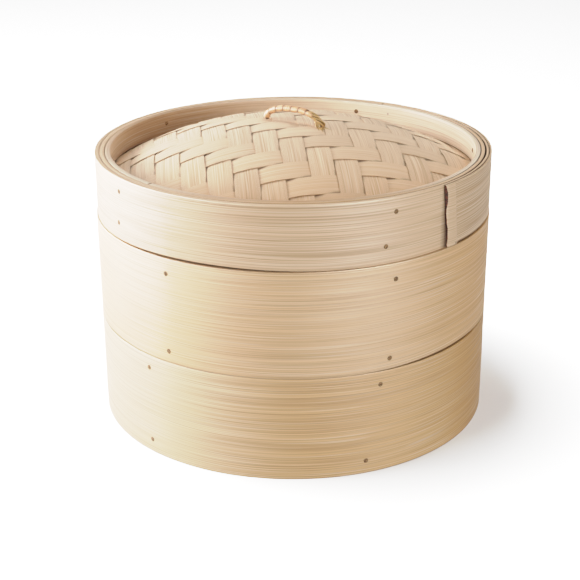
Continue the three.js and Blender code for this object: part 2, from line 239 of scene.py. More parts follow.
@dataclass(frozen=True)
class BambooFinish(Finish):
    """Split and planed bamboo: a pale ground with long, darker fibres and a satin surface.

    The pieces' grain attribute holds millimetres along the fibre, millimetres across it and a strip's number.
    """

    pale: str
    golden: str
    fibre: str
    # dark: specks, and painted shade in gaps and on hidden faces; light: painted glints on fibres and ribs
    dark: str = "#4a2c1a"
    light: str = "#f8ead0"
    fibre_spacing: float = 0.6  # the real 0.3 mm is too fine to show
    fibre_length: float = 150
    streak_width: float = 2.2
    streak_length: float = 500
    streak_strength: float = 0.12
    rib_spacing: float = 0.62
    fibre_strength: float = 0.5
    dash_strength: float = 0.3
    speck_spacing: float = 26
    roughness: float = 0.42
    gloss: float = 0.9
    relief: float = 0.1
    tone_range: float = 0.12

    def surface(self, tree: Tree) -> dict[str, object]:
        """Lets fibres and ribs stand out a little, with fibres rougher than the ground.

        Args:
            tree: The material's node tree.

        Returns:
            The shader's inputs.
        """
        fields = self.fields(tree)
        height = (fields["ribs"], fields["ribbing"], fields["fibres"])
        relief = add_node(tree, MATH, height, operation="MULTIPLY_ADD")
        bump = add_node(tree, "ShaderNodeBump", {
            "Strength": 0.6, "Distance": self.relief * MM, "Height": relief.outputs[0],
        })
        roughness = add_node(tree, "ShaderNodeMapRange", {
            "Value": fields["fibres"], "From Min": 0.3, "From Max": 0.7,
            "To Min": self.roughness - 0.07, "To Max": self.roughness + 0.1,
        })
        return {
            "Base Color": self.colour(tree, fields), "Roughness": roughness.outputs[0],
            "Normal": bump.outputs[0], "Specular IOR Level": self.gloss, "IOR": 1.5,
        }

    def fields(self, tree: Tree) -> dict[str, Socket]:
        """Adds the patterns that colour and relief share.

        Args:
            tree: The material's node tree.

        Returns:
            The outputs of the patterns, by name.
        """
        grain = add_node(tree, "ShaderNodeAttribute", attribute_name="grain").outputs["Vector"]
        patterns = {
            "streaks": (self.streak_length, self.streak_width, 3.0, 0.55),
            "fibres": (self.fibre_length, self.fibre_spacing, 2.5, 0.6),
            "dashes": (self.fibre_length / 3, self.fibre_spacing * 0.7, 0.0, 0.5),
            "ribs": (self.streak_length * 2, self.rib_spacing, 1.0, 0.4),
        }
        found: dict[str, Socket] = {}
        for name, (length, width, detail, rough) in patterns.items():
            place = add_node(tree, VECTOR_MATH, (grain, (1 / length, 1 / width, 1)), operation="MULTIPLY")
            found[name] = add_node(tree, "ShaderNodeTexNoise", {
                "Vector": place.outputs[0], "Scale": 1, "Detail": detail, "Roughness": rough,
            }).outputs["Fac"]
        density = 1 / self.speck_spacing
        place = add_node(tree, VECTOR_MATH, (grain, (density, density, 1)), operation="MULTIPLY")
        found["specks"] = add_node(tree, "ShaderNodeTexVoronoi", {
            "Vector": place.outputs[0], "Scale": 1,
        }).outputs["Distance"]
        for name in ("ribbing", "ripeness_and_painted_shade", "painted_shade_and_stain", "tone"):
            found[name] = add_node(tree, "ShaderNodeAttribute", attribute_name=name).outputs["Fac"]
        return found

    def colour(self, tree: Tree, fields: dict[str, Socket]) -> Socket:
        """Lays streaks, golden ripeness and painted shade, fibres, dashes, ribs with painted glints, specks,
        and painted shade and stains over the ground colour.

        Args:
            tree: The material's node tree.
            fields: The patterns that fields() returned.

        Returns:
            The finished colour.
        """
        layers = [
            (self.golden, "streaks", (0.36, 0.66), self.streak_strength),
            # golden ripeness, which along some stretches is painted shade
            (self.golden, "ripeness_and_painted_shade", (0.0, 1.0), 1.0),
            (self.fibre, "fibres", (0.45, 0.72), self.fibre_strength),
            (self.fibre, "dashes", (0.6, 0.72), self.dash_strength),
            # pale dashes here and pale rib lines below: painted glints on the fibres
            (self.light, "dashes", (0.4, 0.28), self.dash_strength),
            (self.fibre, "ribs", (0.45, 0.6), 0.55),
            (self.light, "ribs", (0.42, 0.3), 0.3),
            (self.dark, "specks", (0.033, 0.016), 0.55),
            # painted shade in gaps, hollows and on hidden faces, with some stains
            (self.dark, "painted_shade_and_stain", (0.0, 1.0), 1.0),
        ]
        colour: Socket | Colour = linear(self.pale)
        for over, pattern, (low, high), strength in layers:
            amount = add_node(tree, "ShaderNodeMapRange", {
                "Value": fields[pattern], "From Min": low, "From Max": high, "To Max": strength,
            })
            if pattern == "ribs":
                amount = add_node(tree, MATH, (amount.outputs[0], fields["ribbing"]), operation="MULTIPLY")
            mixed = {0: amount.outputs[0], 6: colour, 7: linear(over)}
            colour = add_node(tree, "ShaderNodeMix", mixed, data_type="RGBA").outputs[2]
        value = add_node(tree, MATH, (fields["tone"], self.tone_range, 1.0), operation="MULTIPLY_ADD")
        toned = {"Color": colour, "Value": value.outputs[0]}
        return add_node(tree, "ShaderNodeHueSaturation", toned).outputs[0]


@dataclass(frozen=True)
class EndGrainFinish(Finish):
    """Bamboo cut across its fibres: dark, dull and dotted with the ends of the fibres."""

    ground: str
    dots: str
    dot_size: float = 0.5
    roughness: float = 0.75

    def surface(self, tree: Tree) -> dict[str, object]:
        """Adds dots of a second colour, which also make the surface uneven.

        Args:
            tree: The material's node tree.

        Returns:
            The shader's inputs.
        """
        place = add_node(tree, "ShaderNodeTexCoord").outputs["Object"]
        cells = add_node(tree, "ShaderNodeTexNoise", {
            "Vector": place, "Scale": 1 / (self.dot_size * MM), "Detail": 1.0, "Roughness": 0.5,
        }).outputs["Fac"]
        amount = add_node(tree, "ShaderNodeMapRange", {"Value": cells, "From Min": 0.4, "From Max": 0.62})
        mixed = {0: amount.outputs[0], 6: linear(self.ground), 7: linear(self.dots)}
        colour = add_node(tree, "ShaderNodeMix", mixed, data_type="RGBA")
        bump = add_node(tree, "ShaderNodeBump", {"Strength": 0.5, "Distance": 0.1 * MM, "Height": cells})
        return {
            "Base Color": colour.outputs[2], "Normal": bump.outputs[0],
            "Roughness": self.roughness, "Specular IOR Level": 0.2,
        }


@dataclass(frozen=True)
class PaperFinish(Finish):
    """Matt white paper, which glows a little so that shadows on it stay pale."""

    def surface(self, tree: Tree) -> dict[str, object]:
        """Gives the same values all over, so it adds no node.

        Args:
            tree: The material's node tree, which it doesn't use.

        Returns:
            The shader's inputs.
        """
        return {
            "Base Color": (0.8, 0.8, 0.8, 1), "Roughness": 0.9, "Specular IOR Level": 0.0,
            "Emission Color": (1, 1, 1, 1), "Emission Strength": 0.03,
        }


# Planed bamboo with the skin taken off, for walls that were cut, boiled and bent: fine long fibres
LID_BAND = BambooFinish("bamboo_planed_lid", "#dcbc98", "#c69c6a", "#926a3c", gloss=0.45)
UPPER_WALL = BambooFinish("bamboo_planed_upper", "#e0bb8c", "#c89556", "#966732", gloss=0.75)
LOWER_WALL = BambooFinish("bamboo_planed_lower", "#e7cca4", "#cb9238", "#8f5d29", gloss=0.7)
# Split bamboo from nearer the middle of the stem: duller, with coarse fibres
INNER_HOOP = BambooFinish(
    "bamboo_split_inner", "#f8e6ce", "#c0885a", "#a87a4e",
    fibre_spacing=0.9, streak_strength=0.35, gloss=0.2,
)
LID_LINER = BambooFinish(
    "bamboo_split_liner", "#f8e6ce", "#c08a50", "#a87a4a",
    fibre_spacing=0.9, fibre_strength=0.35, gloss=0.2,
)
# Shaved bamboo strips: thin and satin, the warp with more fibre lines than the weft
WARP_STRIP = BambooFinish(
    "bamboo_shaved_warp", "#ead0b2", "#d8b48e", "#a67d52",
    fibre_length=90, streak_width=1.7, streak_length=300, streak_strength=0.3,
    fibre_strength=0.65, roughness=0.55, gloss=0.3, tone_range=0.07,
)
WEFT_STRIP = BambooFinish(
    "bamboo_shaved_weft", "#e8cdae", "#d6b18a", "#b0885c",
    streak_length=300, streak_strength=0.3, fibre_strength=0.35, dash_strength=0.2,
    roughness=0.55, gloss=0.3, tone_range=0.07,
)
# Peeled cane tape, and the unpeeled rattan strands under it: short fibres and a soft shine
HANDLE_TAPE = BambooFinish(
    "cane_peeled_tape", "#e4b284", "#d79a62", "#ae7040",
    streak_width=1.2, fibre_spacing=0.4, fibre_length=12, streak_length=30, streak_strength=0.42,
    roughness=0.45, gloss=0.35,
)
RATTAN = BambooFinish(
    "rattan_split_strand", "#cfa769", "#b48a4c", "#6a4e2c",
    streak_width=0.8, fibre_spacing=0.3, fibre_length=10, streak_length=20, streak_strength=0.42,
    roughness=0.5, gloss=0.35,
)
# Bamboo ends: the torn and scorched end of the lid's strip, sawn ends and the pegs, dull and dotted
TORN_END = EndGrainFinish("bamboo_torn_end", "#351a0e", "#66331d", dot_size=1.1)
SAWN_END = EndGrainFinish("bamboo_sawn_end", "#8a6a45", "#b8946a")
PEG_END = EndGrainFinish("bamboo_peg_end", "#5c4026", "#a57f54", dot_size=0.7)
# Rolled white paper: matt and even
FLOOR_PAPER = PaperFinish("paper_white_sweep")


# Meshes made in code


@dataclass
class Skin:
    """A mesh in the making, in millimetres, with the values that its finish reads at each point."""

    points: list[Vector] = field(default_factory=list)
    grain: list[Vector] = field(default_factory=list)
    ribbing: list[float] = field(default_factory=list)
    # the dark of painted shade and stains, and the golden of ripeness and painted shade
    painted_shade_and_stain: list[float] = field(default_factory=list)
    ripeness_and_painted_shade: list[float] = field(default_factory=list)
    faces: list[tuple[int, ...]] = field(default_factory=list)
    ends: list[int] = field(default_factory=list)

    def add_point(
        self, place: Vector, grain: Vector, ribbing: float = 0.0, painted_shade_and_stain: float = 0.0, ripeness_and_painted_shade: float = 0.0,
    ) -> int:
        """Adds a point.

        Args:
            place: Where the point lies.
            grain: Where it lies in the bamboo's own pattern.
            ribbing: How strongly the fibres stand out there.
            painted_shade_and_stain: How dark it is: painted shade in gaps and on hidden faces, and stains.
            ripeness_and_painted_shade: How golden it is: ripe bamboo, and painted shade.

        Returns:
            The point's number.
        """
        self.points.append(place)
        self.grain.append(grain)
        self.ribbing.append(ribbing)
        self.painted_shade_and_stain.append(painted_shade_and_stain)
        self.ripeness_and_painted_shade.append(ripeness_and_painted_shade)
        return len(self.points) - 1

    def loft(self, rings: Sequence[Sequence[int]]) -> None:
        """Covers closed rings of points, and closes both ends with quads.

        Args:
            rings: Point numbers, the same even number of them in each ring.
        """
        for ring, after in zip(rings, rings[1:]):
            for place, point in enumerate(ring):
                following = (place + 1) % len(ring)
                self.faces.append((point, after[place], after[following], ring[following]))
        for ring in (rings[0], rings[-1]):
            last = len(ring) - 1
            for place in range(len(ring) // 2 - 1):
                self.ends.append(len(self.faces))
                self.faces.append((ring[place], ring[place + 1], ring[last - place - 1], ring[last - place]))

    def make(self, name: str, materials: Sequence[Material], sharp: float = 40) -> Piece:
        """Makes the object, with its faces pointing outwards.

        Args:
            name: The piece's name.
            materials: The finish, and then the finish of the ends where they have their own.
            sharp: The angle between faces from which an edge stays sharp.

        Returns:
            The new object, at the origin.
        """
        mesh = bpy.data.meshes.new(name)
        mesh.from_pydata([point * MM for point in self.points], [], self.faces)
        for material in materials:
            mesh.materials.append(material)
        if len(materials) > 1:
            for number in self.ends:
                mesh.polygons[number].material_index = 1
        shape = bmesh.new()
        shape.from_mesh(mesh)
        bmesh.ops.recalc_face_normals(shape, faces=shape.faces)
        shape.to_mesh(mesh)
        shape.free()
        grain = mesh.attributes.new("grain", "FLOAT_VECTOR", "POINT")
        grain.data.foreach_set("vector", [part for vector in self.grain for part in vector])
        for label, values in (("ribbing", self.ribbing), ("painted_shade_and_stain", self.painted_shade_and_stain), ("ripeness_and_painted_shade", self.ripeness_and_painted_shade)):
            mesh.attributes.new(label, "FLOAT", "POINT").data.foreach_set("value", values)
        mesh.shade_smooth()
        mesh.set_sharp_from_angle(angle=math.radians(sharp))
        piece = bpy.data.objects.new(name, mesh)
        bpy.context.scene.collection.objects.link(piece)
        return piece


@dataclass(frozen=True)
class SectionPoint:
    """A point of a strip's section: how deep, how high and how far round it lies, and on which face."""

    depth: float  # from the inner face
    height: float  # from the lower edge
    round: float  # along the section's outline
    outer: float  # 1 on the outer face, less on its corners
    inner: float
    top: float
    bottom: float


@dataclass(frozen=True)
class Stretch:
    """A stretch of a hoop where something is strongest in the middle and fades to both sides."""

    middle: float
    half_width: float
    amount: float


def summed(stretches: Sequence[Stretch], angle: float) -> float:
    """What the stretches add up to at an angle."""
    return sum(stretch.amount * hump(angle, stretch.middle, stretch.half_width) for stretch in stretches)


@dataclass
class BentHoop:
    """One strip of bamboo bent round the steamer's axis, with its ends butted together."""

    node: str
    body: Body
    slot: Slot
    finish: BambooFinish
    inside: float
    thickness: float
    start: float
    seed: float
    turn: int = 1
    sweep: float = 359.5
    hides_outside: float = 0.0  # painted shade on the outer face where another layer covers it
    hides_inside: float = 0.0
    hides_top: float = 0.0  # painted shade on the upper edge at its inner side
    hides_bottom: float = 0.0  # painted shade on the lower edge
    dark_span: tuple[float, float] = (-1.0, 0.0)  # shares of the height between which the painted shade on hidden faces fades in
    ribs: float = 0.08
    scraped: tuple[Stretch, ...] = ()  # where the fibres stand out more
    painted_shade_and_stains: tuple[Stretch, ...] = ()  # where the strip is darker: painted shade on the sides away from the lights, with some real stain
    golden_and_shaded: tuple[Stretch, ...] = ()  # where the strip is more golden: ripe bamboo, and along some stretches painted shade
    reach_down: float = 0.0  # how much nearer it lies to what carries it
    cut_down: float = 0.0  # how much lower its upper edge is than the CAD strip's
    gapes_at: float | None = None  # where the layer outside it stands off
    gape_width: float = 75.0
    gape_depth: float = 0.0  # how much thinner the strip is there
    end_finish: EndGrainFinish = SAWN_END

    CORNER = 0.3
    CORNER_MIDDLE = 0.29  # where a rounded corner's middle point lies, as a share of its radius
    CORNER_FACING = 0.7  # how far that point belongs to the face
    ROW_HEIGHT = 3.6
    EDGE_ROW = 0.3  # first row of faces beside a corner, which keeps the rest of the face flat
    OUTER_TOP = 0.8  # painted shade on the upper edge at its outer side, as a share of its inner side's
    TORN_REACH = 1.7
    FINE_STEP = 0.25
    FINE_REACH = 5.0
    STEP = 1.0
    EDGE_WANDER = 0.1
    LOWER_SWING = 28  # degrees in one unit of wandering, for each edge, the faces and the ribs
    UPPER_SWING = 25
    FACE_SWING = 16
    RIB_SWING = 30
    LOWER_SHARE = 0.4  # how uneven the lower edge is, as a share of the upper edge
    FACE_WANDER = 0.05
    RIB_WANDER = 0.6
    TIGHTER = 0.2  # how much a tight layer fills of the gap outside it
    TIGHT_DARKNESS = 0.35  # painted shade of a hidden face that lies tight, as a share of a gaping one's
    GRAIN_STEP = 17  # between one seed's pattern and the next's

    def levels(self) -> tuple[float, float]:
        """The lower and upper edge of the CAD strip."""
        low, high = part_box(self.node)
        return low.z / MM - self.reach_down, high.z / MM - self.cut_down

    def lift(self, turned: float) -> float:
        """How far the strip's inner face lies outside its own radius."""
        return 0.0

    def lower_edge(self, turned: float, angle: float) -> float:
        """How far the lower edge is raised."""
        uneven = 1 + wander(angle / self.LOWER_SWING, self.seed + 3)
        return max(0.0, self.EDGE_WANDER * self.LOWER_SHARE * uneven)

    def upper_edge(self, turned: float, angle: float) -> float:
        """How far the upper edge is raised."""
        return self.EDGE_WANDER * wander(angle / self.UPPER_SWING, self.seed)

    def gaping(self, angle: float) -> float:
        """1 where the layer outside stands off, 0 where it lies tight."""
        return 1.0 if self.gapes_at is None else hump(angle, self.gapes_at, self.gape_width)

    def thinned(self, turned: float) -> float:
        """How much is shaved off the outer face."""
        gaping = self.gaping(self.start + self.turn * turned)
        return self.TIGHTER * (gaping - 1) + self.gape_depth * gaping

    def ragged(self, share: float, outer: float) -> float:
        """How far the torn first end is set back at a share of the height, in degrees."""
        return 0.0

    def lean(self, turned: float, share: float) -> float:
        """How far the strip is turned on at a share of the height, in degrees."""
        return 0.0

    def ribbing(self, turned: float, angle: float) -> float:
        """How strongly the fibres stand out as ribs."""
        uneven = 1 + self.RIB_WANDER * wander(angle / self.RIB_SWING, self.seed + 5)
        return max(0.0, (self.ribs + summed(self.scraped, angle)) * uneven)

    def covered(self, turned: float) -> float:
        """How much painted shade the outer face has where another layer covers it."""
        return self.hides_outside

    def stations(self) -> list[float]:
        """Spaces the rings along the strip, closer together at its first end.

        Returns:
            The turned angles of the rings.
        """
        fine = [self.FINE_STEP * step for step in range(round(self.FINE_REACH / self.FINE_STEP))]
        rest = self.sweep - self.FINE_REACH
        count = math.ceil(rest / self.STEP)
        return fine + [self.FINE_REACH + rest * step / count for step in range(count + 1)]

    def section(self, height: float) -> list[SectionPoint]:
        """The outline of the strip's section: up its outer face and down its inner face.

        Args:
            height: The strip's height.

        Returns:
            The outline's points.
        """
        rows = max(2, round(height / self.ROW_HEIGHT))
        middle = self.CORNER * self.CORNER_MIDDLE
        flat = height - 2 * self.CORNER
        edge = self.EDGE_ROW / flat
        shares = [0.0, edge, *(row / rows for row in range(1, rows)), 1 - edge, 1.0]
        side = [(self.CORNER, 0.0, 0.0), (middle, middle, self.CORNER_FACING)]
        side += [(0.0, self.CORNER + flat * share, 1.0) for share in shares]
        side += [(middle, height - middle, self.CORNER_FACING), (self.CORNER, height, 0.0)]
        over = height + self.thickness
        up = []
        down = []
        for inset, level, face in side:
            top = float(level == height)
            bottom = float(level <= self.CORNER)
            depth = self.thickness - inset
            up.append(SectionPoint(depth, level, level, face, 0, self.OUTER_TOP * top, bottom))
            down.append(SectionPoint(inset, level, over + height - level, 0, face, top, bottom))
        return up + down[::-1]

    def outer_radius(self, angle: float) -> float:
        """The radius of the outermost face at an angle."""
        turned = ((angle - self.start) * self.turn) % 360
        return self.inside + self.lift(turned) + self.thickness - self.thinned(turned)

    def darkness(self, point: SectionPoint, share: float, place: float, angle: float) -> float:
        """How dark a point is: painted shade where a layer hides it and on its edges, and painted shade and
        stains along stretches.

        Args:
            point: The point of the section.
            share: Its share of the strip's height.
            place: The turned angle at which it lies.
            angle: The object's own angle there.

        Returns:
            The share of the dark colour.
        """
        shade = self.TIGHT_DARKNESS + (1 - self.TIGHT_DARKNESS) * self.gaping(angle)
        shade *= smoothstep(*self.dark_span, share)
        hidden = max(point.outer * self.covered(place), point.inner * self.hides_inside) * shade
        edge = max(point.top * self.hides_top, point.bottom * self.hides_bottom)
        return max(hidden, edge, summed(self.painted_shade_and_stains, angle))

    def build(self) -> None:
        """Builds the strip and dresses it."""
        low, high = self.levels()
        height = high - low
        section = self.section(height)
        skin = Skin()
        rings = []
        for turned in self.stations():
            torn = 1 - smoothstep(0, self.TORN_REACH, turned)
            ring = []
            for point in section:
                share = point.height / height
                place = turned + torn * self.ragged(share, point.outer)
                angle = self.start + self.turn * (place + self.lean(place, share))
                turn = math.radians(angle)
                lower = low + self.lower_edge(place, angle)
                upper = high + self.upper_edge(place, angle)
                radius = self.inside + self.lift(place) + point.depth
                radius += self.FACE_WANDER * wander(angle / self.FACE_SWING, self.seed + share)
                radius -= self.thinned(place) * point.depth / self.thickness
                level = lower + share * (upper - lower)
                ring.append(skin.add_point(
                    Vector((radius * math.cos(turn), radius * math.sin(turn), level)),
                    Vector((math.radians(place) * self.inside, point.round, self.seed * self.GRAIN_STEP)),
                    self.ribbing(place, angle),
                    self.darkness(point, share, place, angle),
                    summed(self.golden_and_shaded, angle),
                ))
            rings.append(ring)
        skin.loft(rings)
        piece = skin.make(self.node + "_strip", [self.finish.material(), self.end_finish.material()])
        hand_over(piece, self.body, [self.node])


@dataclass
class LappedHoop(BentHoop):
    """An outer wall, whose first stretch lies on the outside of its last."""

    lap: float = 58
    ramp: float = 30
    lap_gap: float = 0.3
    lap_share: float = 0.55  # of the strip's thickness that is left in the lap
    tail: float = 20  # the thin end that fills the wedge under the ramp

    THINNEST = 0.2
    COVER_EDGE = 0.5  # degrees to both sides of the strip's end over which painted shade comes on in the layer under it

    def __post_init__(self) -> None:
        """Lets the strip overlap itself by its lap and its thin tail."""
        self.sweep = 360 + self.lap + self.tail
        self.lapped = self.thickness * self.lap_share

    def lift(self, turned: float) -> float:
        """The first stretch lies a layer further out and comes down over the ramp."""
        return (self.lapped + self.lap_gap) * (1 - smoothstep(self.lap, self.lap + self.ramp, turned))

    def thinned(self, turned: float) -> float:
        """Shaves both stretches where they lie on each other, and fits the tail under the ramp.

        Args:
            turned: The turned angle.

        Returns:
            How much is shaved off the outer face.
        """
        left = smoothstep(self.lap, self.lap + self.ramp, turned)
        returned = smoothstep(360 - self.ramp, 360, turned)
        room = LappedHoop.lift(self, turned - 360) - self.lap_gap if turned > 360 else self.lapped
        shaved = self.thickness - max(self.THINNEST, min(self.lapped, room))
        return shaved * (1 - left * (1 - returned))

    def covered(self, turned: float) -> float:
        """The last stretch has painted shade where the first covers it."""
        return smoothstep(360 - self.COVER_EDGE, 360 + self.COVER_EDGE, turned)


@dataclass
class TierWall(LappedHoop):
    """An outer wall, with gaps under its edge where it doesn't quite meet the wall below."""

    gaps: tuple[Stretch, ...] = ()

    CORNER = 0.2
    OUTER_TOP = 0.3

    def lower_edge(self, turned: float, angle: float) -> float:
        """The lower edge rises at the gaps."""
        return super().lower_edge(turned, angle) + summed(self.gaps, angle)


@dataclass
class LidBand(TierWall):
    """The lid's outer hoop, whose torn and loose end shows at the front."""

    loose: float = 0.2
    loose_reach: float = 9.0
    end_thinned: float = 0.6
    end_reach: float = 0.8
    smooth_end: float = 3.4  # stretch at the end that wasn't shaved
    shaved: float = 0.2
    trimmed: float = 1.0  # how far the shaved stretch's lower edge is cut away
    slant: float = 2.0  # how far the end is cut back at its foot, in degrees
    end_finish: EndGrainFinish = TORN_END

    CORNER = 0.3
    ROW_HEIGHT = 1.1
    TORN_REACH = 2.8
    SHAVING_EDGE = 0.4
    SHAVED_RIBS = 0.95
    TRIM_FADE = (22, 40)
    LEAN_FADE = (8, 45)
    TEARS = ((0.25, 4, 2.0), (0.12, 17, 4.0))  # depth in degrees, swings over the height, and seed
    TEAR_SHIFT = 0.2
    OUTER_TEAR = 0.1  # how much further the outer face is torn back
    SPLINTER_DEPTH = 0.5
    SPLINTER_SPAN = (0.6, 0.8, 0.88, 1.0)  # shares of the height where it begins, is full, fades and ends

    def lift(self, turned: float) -> float:
        """The end stands off the layer under it."""
        return super().lift(turned) + self.loose * math.exp(-turned / self.loose_reach)

    def shaving(self, turned: float) -> float:
        """1 on the shaved stretch of the lap."""
        begins = smoothstep(self.smooth_end, self.smooth_end + self.SHAVING_EDGE, turned)
        return begins * (1 - smoothstep(self.lap, self.lap + self.ramp, turned))

    def thinned(self, turned: float) -> float:
        """The shaved stretch is a little thinner, and so is the very end."""
        end = self.end_thinned * math.exp(-turned / self.end_reach)
        return super().thinned(turned) + self.shaved * self.shaving(turned) + end

    def lower_edge(self, turned: float, angle: float) -> float:
        """Cuts away the shaved stretch's lower edge, and the layer under it.

        Args:
            turned: The turned angle.
            angle: The object's own angle.

        Returns:
            How far the lower edge is raised.
        """
        place = turned % 360
        fade = 1 - smoothstep(*self.TRIM_FADE, place)
        return super().lower_edge(turned, angle) + self.trimmed * self.shaving(place) * fade

    def ragged(self, share: float, outer: float) -> float:
        """Tears the end across the fibres, with a splinter off its outer face near the top.

        Args:
            share: The share of the height.
            outer: 1 on the outer face, 0 on the inner one.

        Returns:
            How far the end is set back, in degrees.
        """
        torn = sum(depth * wander(share * swings, seed) for depth, swings, seed in self.TEARS)
        begins, full, fades, ends = self.SPLINTER_SPAN
        splinter = smoothstep(begins, full, share) * (1 - smoothstep(fades, ends, share))
        return torn - self.TEAR_SHIFT + outer * (self.OUTER_TEAR + self.SPLINTER_DEPTH * splinter)

    def lean(self, turned: float, share: float) -> float:
        """The end isn't quite upright."""
        return self.slant * (1 - share) * (1 - smoothstep(*self.LEAN_FADE, turned))

    def ribbing(self, turned: float, angle: float) -> float:
        """The shaved stretch has strong ribs."""
        return max(super().ribbing(turned, angle), self.SHAVED_RIBS * self.shaving(turned))


# Shapes made by Geometry Nodes


class NodeShape:
    """A Geometry Nodes tree with named inputs, which is turned into a plain mesh."""

    KINDS = {int: "NodeSocketInt", float: "NodeSocketFloat", Vector: "NodeSocketVector"}

    def __init__(self, name: str, values: dict[str, object], material: Material) -> None:
        """Makes the tree's inputs.

        Args:
            name: The tree's name.
            values: The value of each named input, in metres.
            material: The material that the tree sets.
        """
        self.tree = bpy.data.node_groups.new(name, "GeometryNodeTree")
        self.values = dict(values, Material=material)
        self.tree.interface.new_socket("Geometry", in_out="INPUT", socket_type="NodeSocketGeometry")
        for label, value in self.values.items():
            kind = self.KINDS.get(type(value), "NodeSocketMaterial")
            self.tree.interface.new_socket(label, in_out="INPUT", socket_type=kind)
        self.tree.interface.new_socket("Geometry", in_out="OUTPUT", socket_type="NodeSocketGeometry")
        self.inputs = add_node(self.tree, "NodeGroupInput").outputs

    def add(self, kind: str, inputs: Inputs = (), output: int | str = 0, **settings: object) -> Socket:
        """Adds a node to the tree, as add_node does, and returns one of its outputs."""
        return add_node(self.tree, kind, inputs, **settings).outputs[output]

    def blanks(
        self, first: Socket, size: Sequence[float], steps: Sequence[int],
    ) -> tuple[Socket, Socket, Sequence[Socket]]:
        """Adds straight blanks on top of each other, each of which knows its number.

        Args:
            first: The first blank's number.
            size: The blanks' size along X, Y and Z.
            steps: How many points they have along X, Y and Z.

        Returns:
            The blanks as real meshes, a blank's number, and the X, Y and Z of a place on it.
        """
        line = self.add("GeometryNodeMeshLine", {
            "Count": self.inputs["Count"], "Offset": (0, 0, 0),
        }, mode="OFFSET")
        index = self.add("GeometryNodeInputIndex")
        numbered = self.add("GeometryNodeStoreNamedAttribute", {
            "Geometry": line, "Name": "number", "Value": self.add(MATH, (index, first), operation="ADD"),
        }, data_type="FLOAT", domain="POINT")
        blank = self.add("GeometryNodeMeshCube", {
            "Size": size, "Vertices X": steps[0], "Vertices Y": steps[1], "Vertices Z": steps[2],
        })
        copies = self.add("GeometryNodeInstanceOnPoints", {"Points": numbered, "Instance": blank})
        strips = self.add("GeometryNodeRealizeInstances", {"Geometry": copies})
        number = self.add("GeometryNodeInputNamedAttribute", {"Name": "number"}, data_type="FLOAT")
        position = self.add("GeometryNodeInputPosition")
        return strips, number, add_node(self.tree, "ShaderNodeSeparateXYZ", (position,)).outputs

    def half_chord(self, away: Socket) -> Socket:
        """Adds half the length of a straight strip inside the circle that the strips reach to.

        Args:
            away: How far the strip lies from the middle.

        Returns:
            The length.
        """
        reach = self.inputs["Reach"]
        square = self.add(MATH, (reach, reach), operation="MULTIPLY")
        away_square = self.add(MATH, (away, away), operation="MULTIPLY")
        rest = self.add(MATH, (square, away_square), operation="SUBTRACT")
        return self.add(MATH, (self.add(MATH, (rest, 0.0), operation="MAXIMUM"),), operation="SQRT")

    def edge_share(self, across: Socket, power: float, loss: float) -> Socket:
        """Adds the share of a strip's thickness that is left towards its edges.

        Args:
            across: The place across the strip, from -0.5 to 0.5.
            power: How suddenly the strip thins.
            loss: The share that it has lost at its very edges.

        Returns:
            The share.
        """
        distance = self.add(MATH, (across,), operation="ABSOLUTE")
        doubled = self.add(MATH, (distance, 2.0), operation="MULTIPLY")
        rounded = self.add(MATH, (doubled, power), operation="POWER")
        return self.add(MATH, (rounded, -loss, 1.0), operation="MULTIPLY_ADD")

    def lay(self, strips: Socket, number: Socket, place: Socket, values: dict[str, Socket]) -> None:
        """Marks the blanks, gives each its own tone, moves their points to their places and ends the tree.

        Args:
            strips: The blanks.
            number: A blank's number.
            place: Where a point belongs.
            values: The value for each attribute's name.
        """
        tone = self.add("FunctionNodeRandomValue", {
            2: -1.0, 3: 1.0, "ID": number, "Seed": self.inputs["Seed"],
        }, output=1)
        for name, value in dict(values, tone=tone).items():
            strips = self.add("GeometryNodeStoreNamedAttribute", {
                "Geometry": strips, "Name": name, "Value": value,
            }, data_type="FLOAT_VECTOR" if value.type == "VECTOR" else "FLOAT", domain="POINT")
        self.finish(self.add("GeometryNodeSetPosition", {"Geometry": strips, "Position": place}))

    def finish(self, geometry: Socket) -> None:
        """Ends the tree: real meshes, smooth shading and the material.

        Args:
            geometry: What the tree has made.
        """
        real = self.add("GeometryNodeRealizeInstances", {"Geometry": geometry})
        smooth = self.add("GeometryNodeSetShadeSmooth", {"Geometry": real})
        dressed = self.add("GeometryNodeSetMaterial", {
            "Geometry": smooth, "Material": self.inputs["Material"],
        })
        add_node(self.tree, "NodeGroupOutput", (dressed,))

    def make(self, name: str, base: bpy.types.Mesh | None = None, sharp: float = 40) -> Piece:
        """Runs the tree and keeps its result as a plain mesh.

        Args:
            name: The piece's name.
            base: The mesh that goes into the tree, where it needs one.
            sharp: The angle between faces from which an edge stays sharp.

        Returns:
            The new object, at the origin and with no modifier.
        """
        piece = bpy.data.objects.new(name, base or bpy.data.meshes.new(name))
        bpy.context.scene.collection.objects.link(piece)
        modifier = piece.modifiers.new("shape", "NODES")
        modifier.node_group = self.tree
        for item in self.tree.interface.items_tree:
            if item.in_out == "INPUT" and item.name in self.values:
                modifier[item.identifier] = self.values[item.name]
        depsgraph = bpy.context.evaluated_depsgraph_get()
        mesh = bpy.data.meshes.new_from_object(
            piece.evaluated_get(depsgraph), preserve_all_data_layers=True, depsgraph=depsgraph,
        )
        piece.modifiers.clear()
        piece.data = mesh
        mesh.name = name
        mesh.set_sharp_from_angle(angle=math.radians(sharp))
        return piece


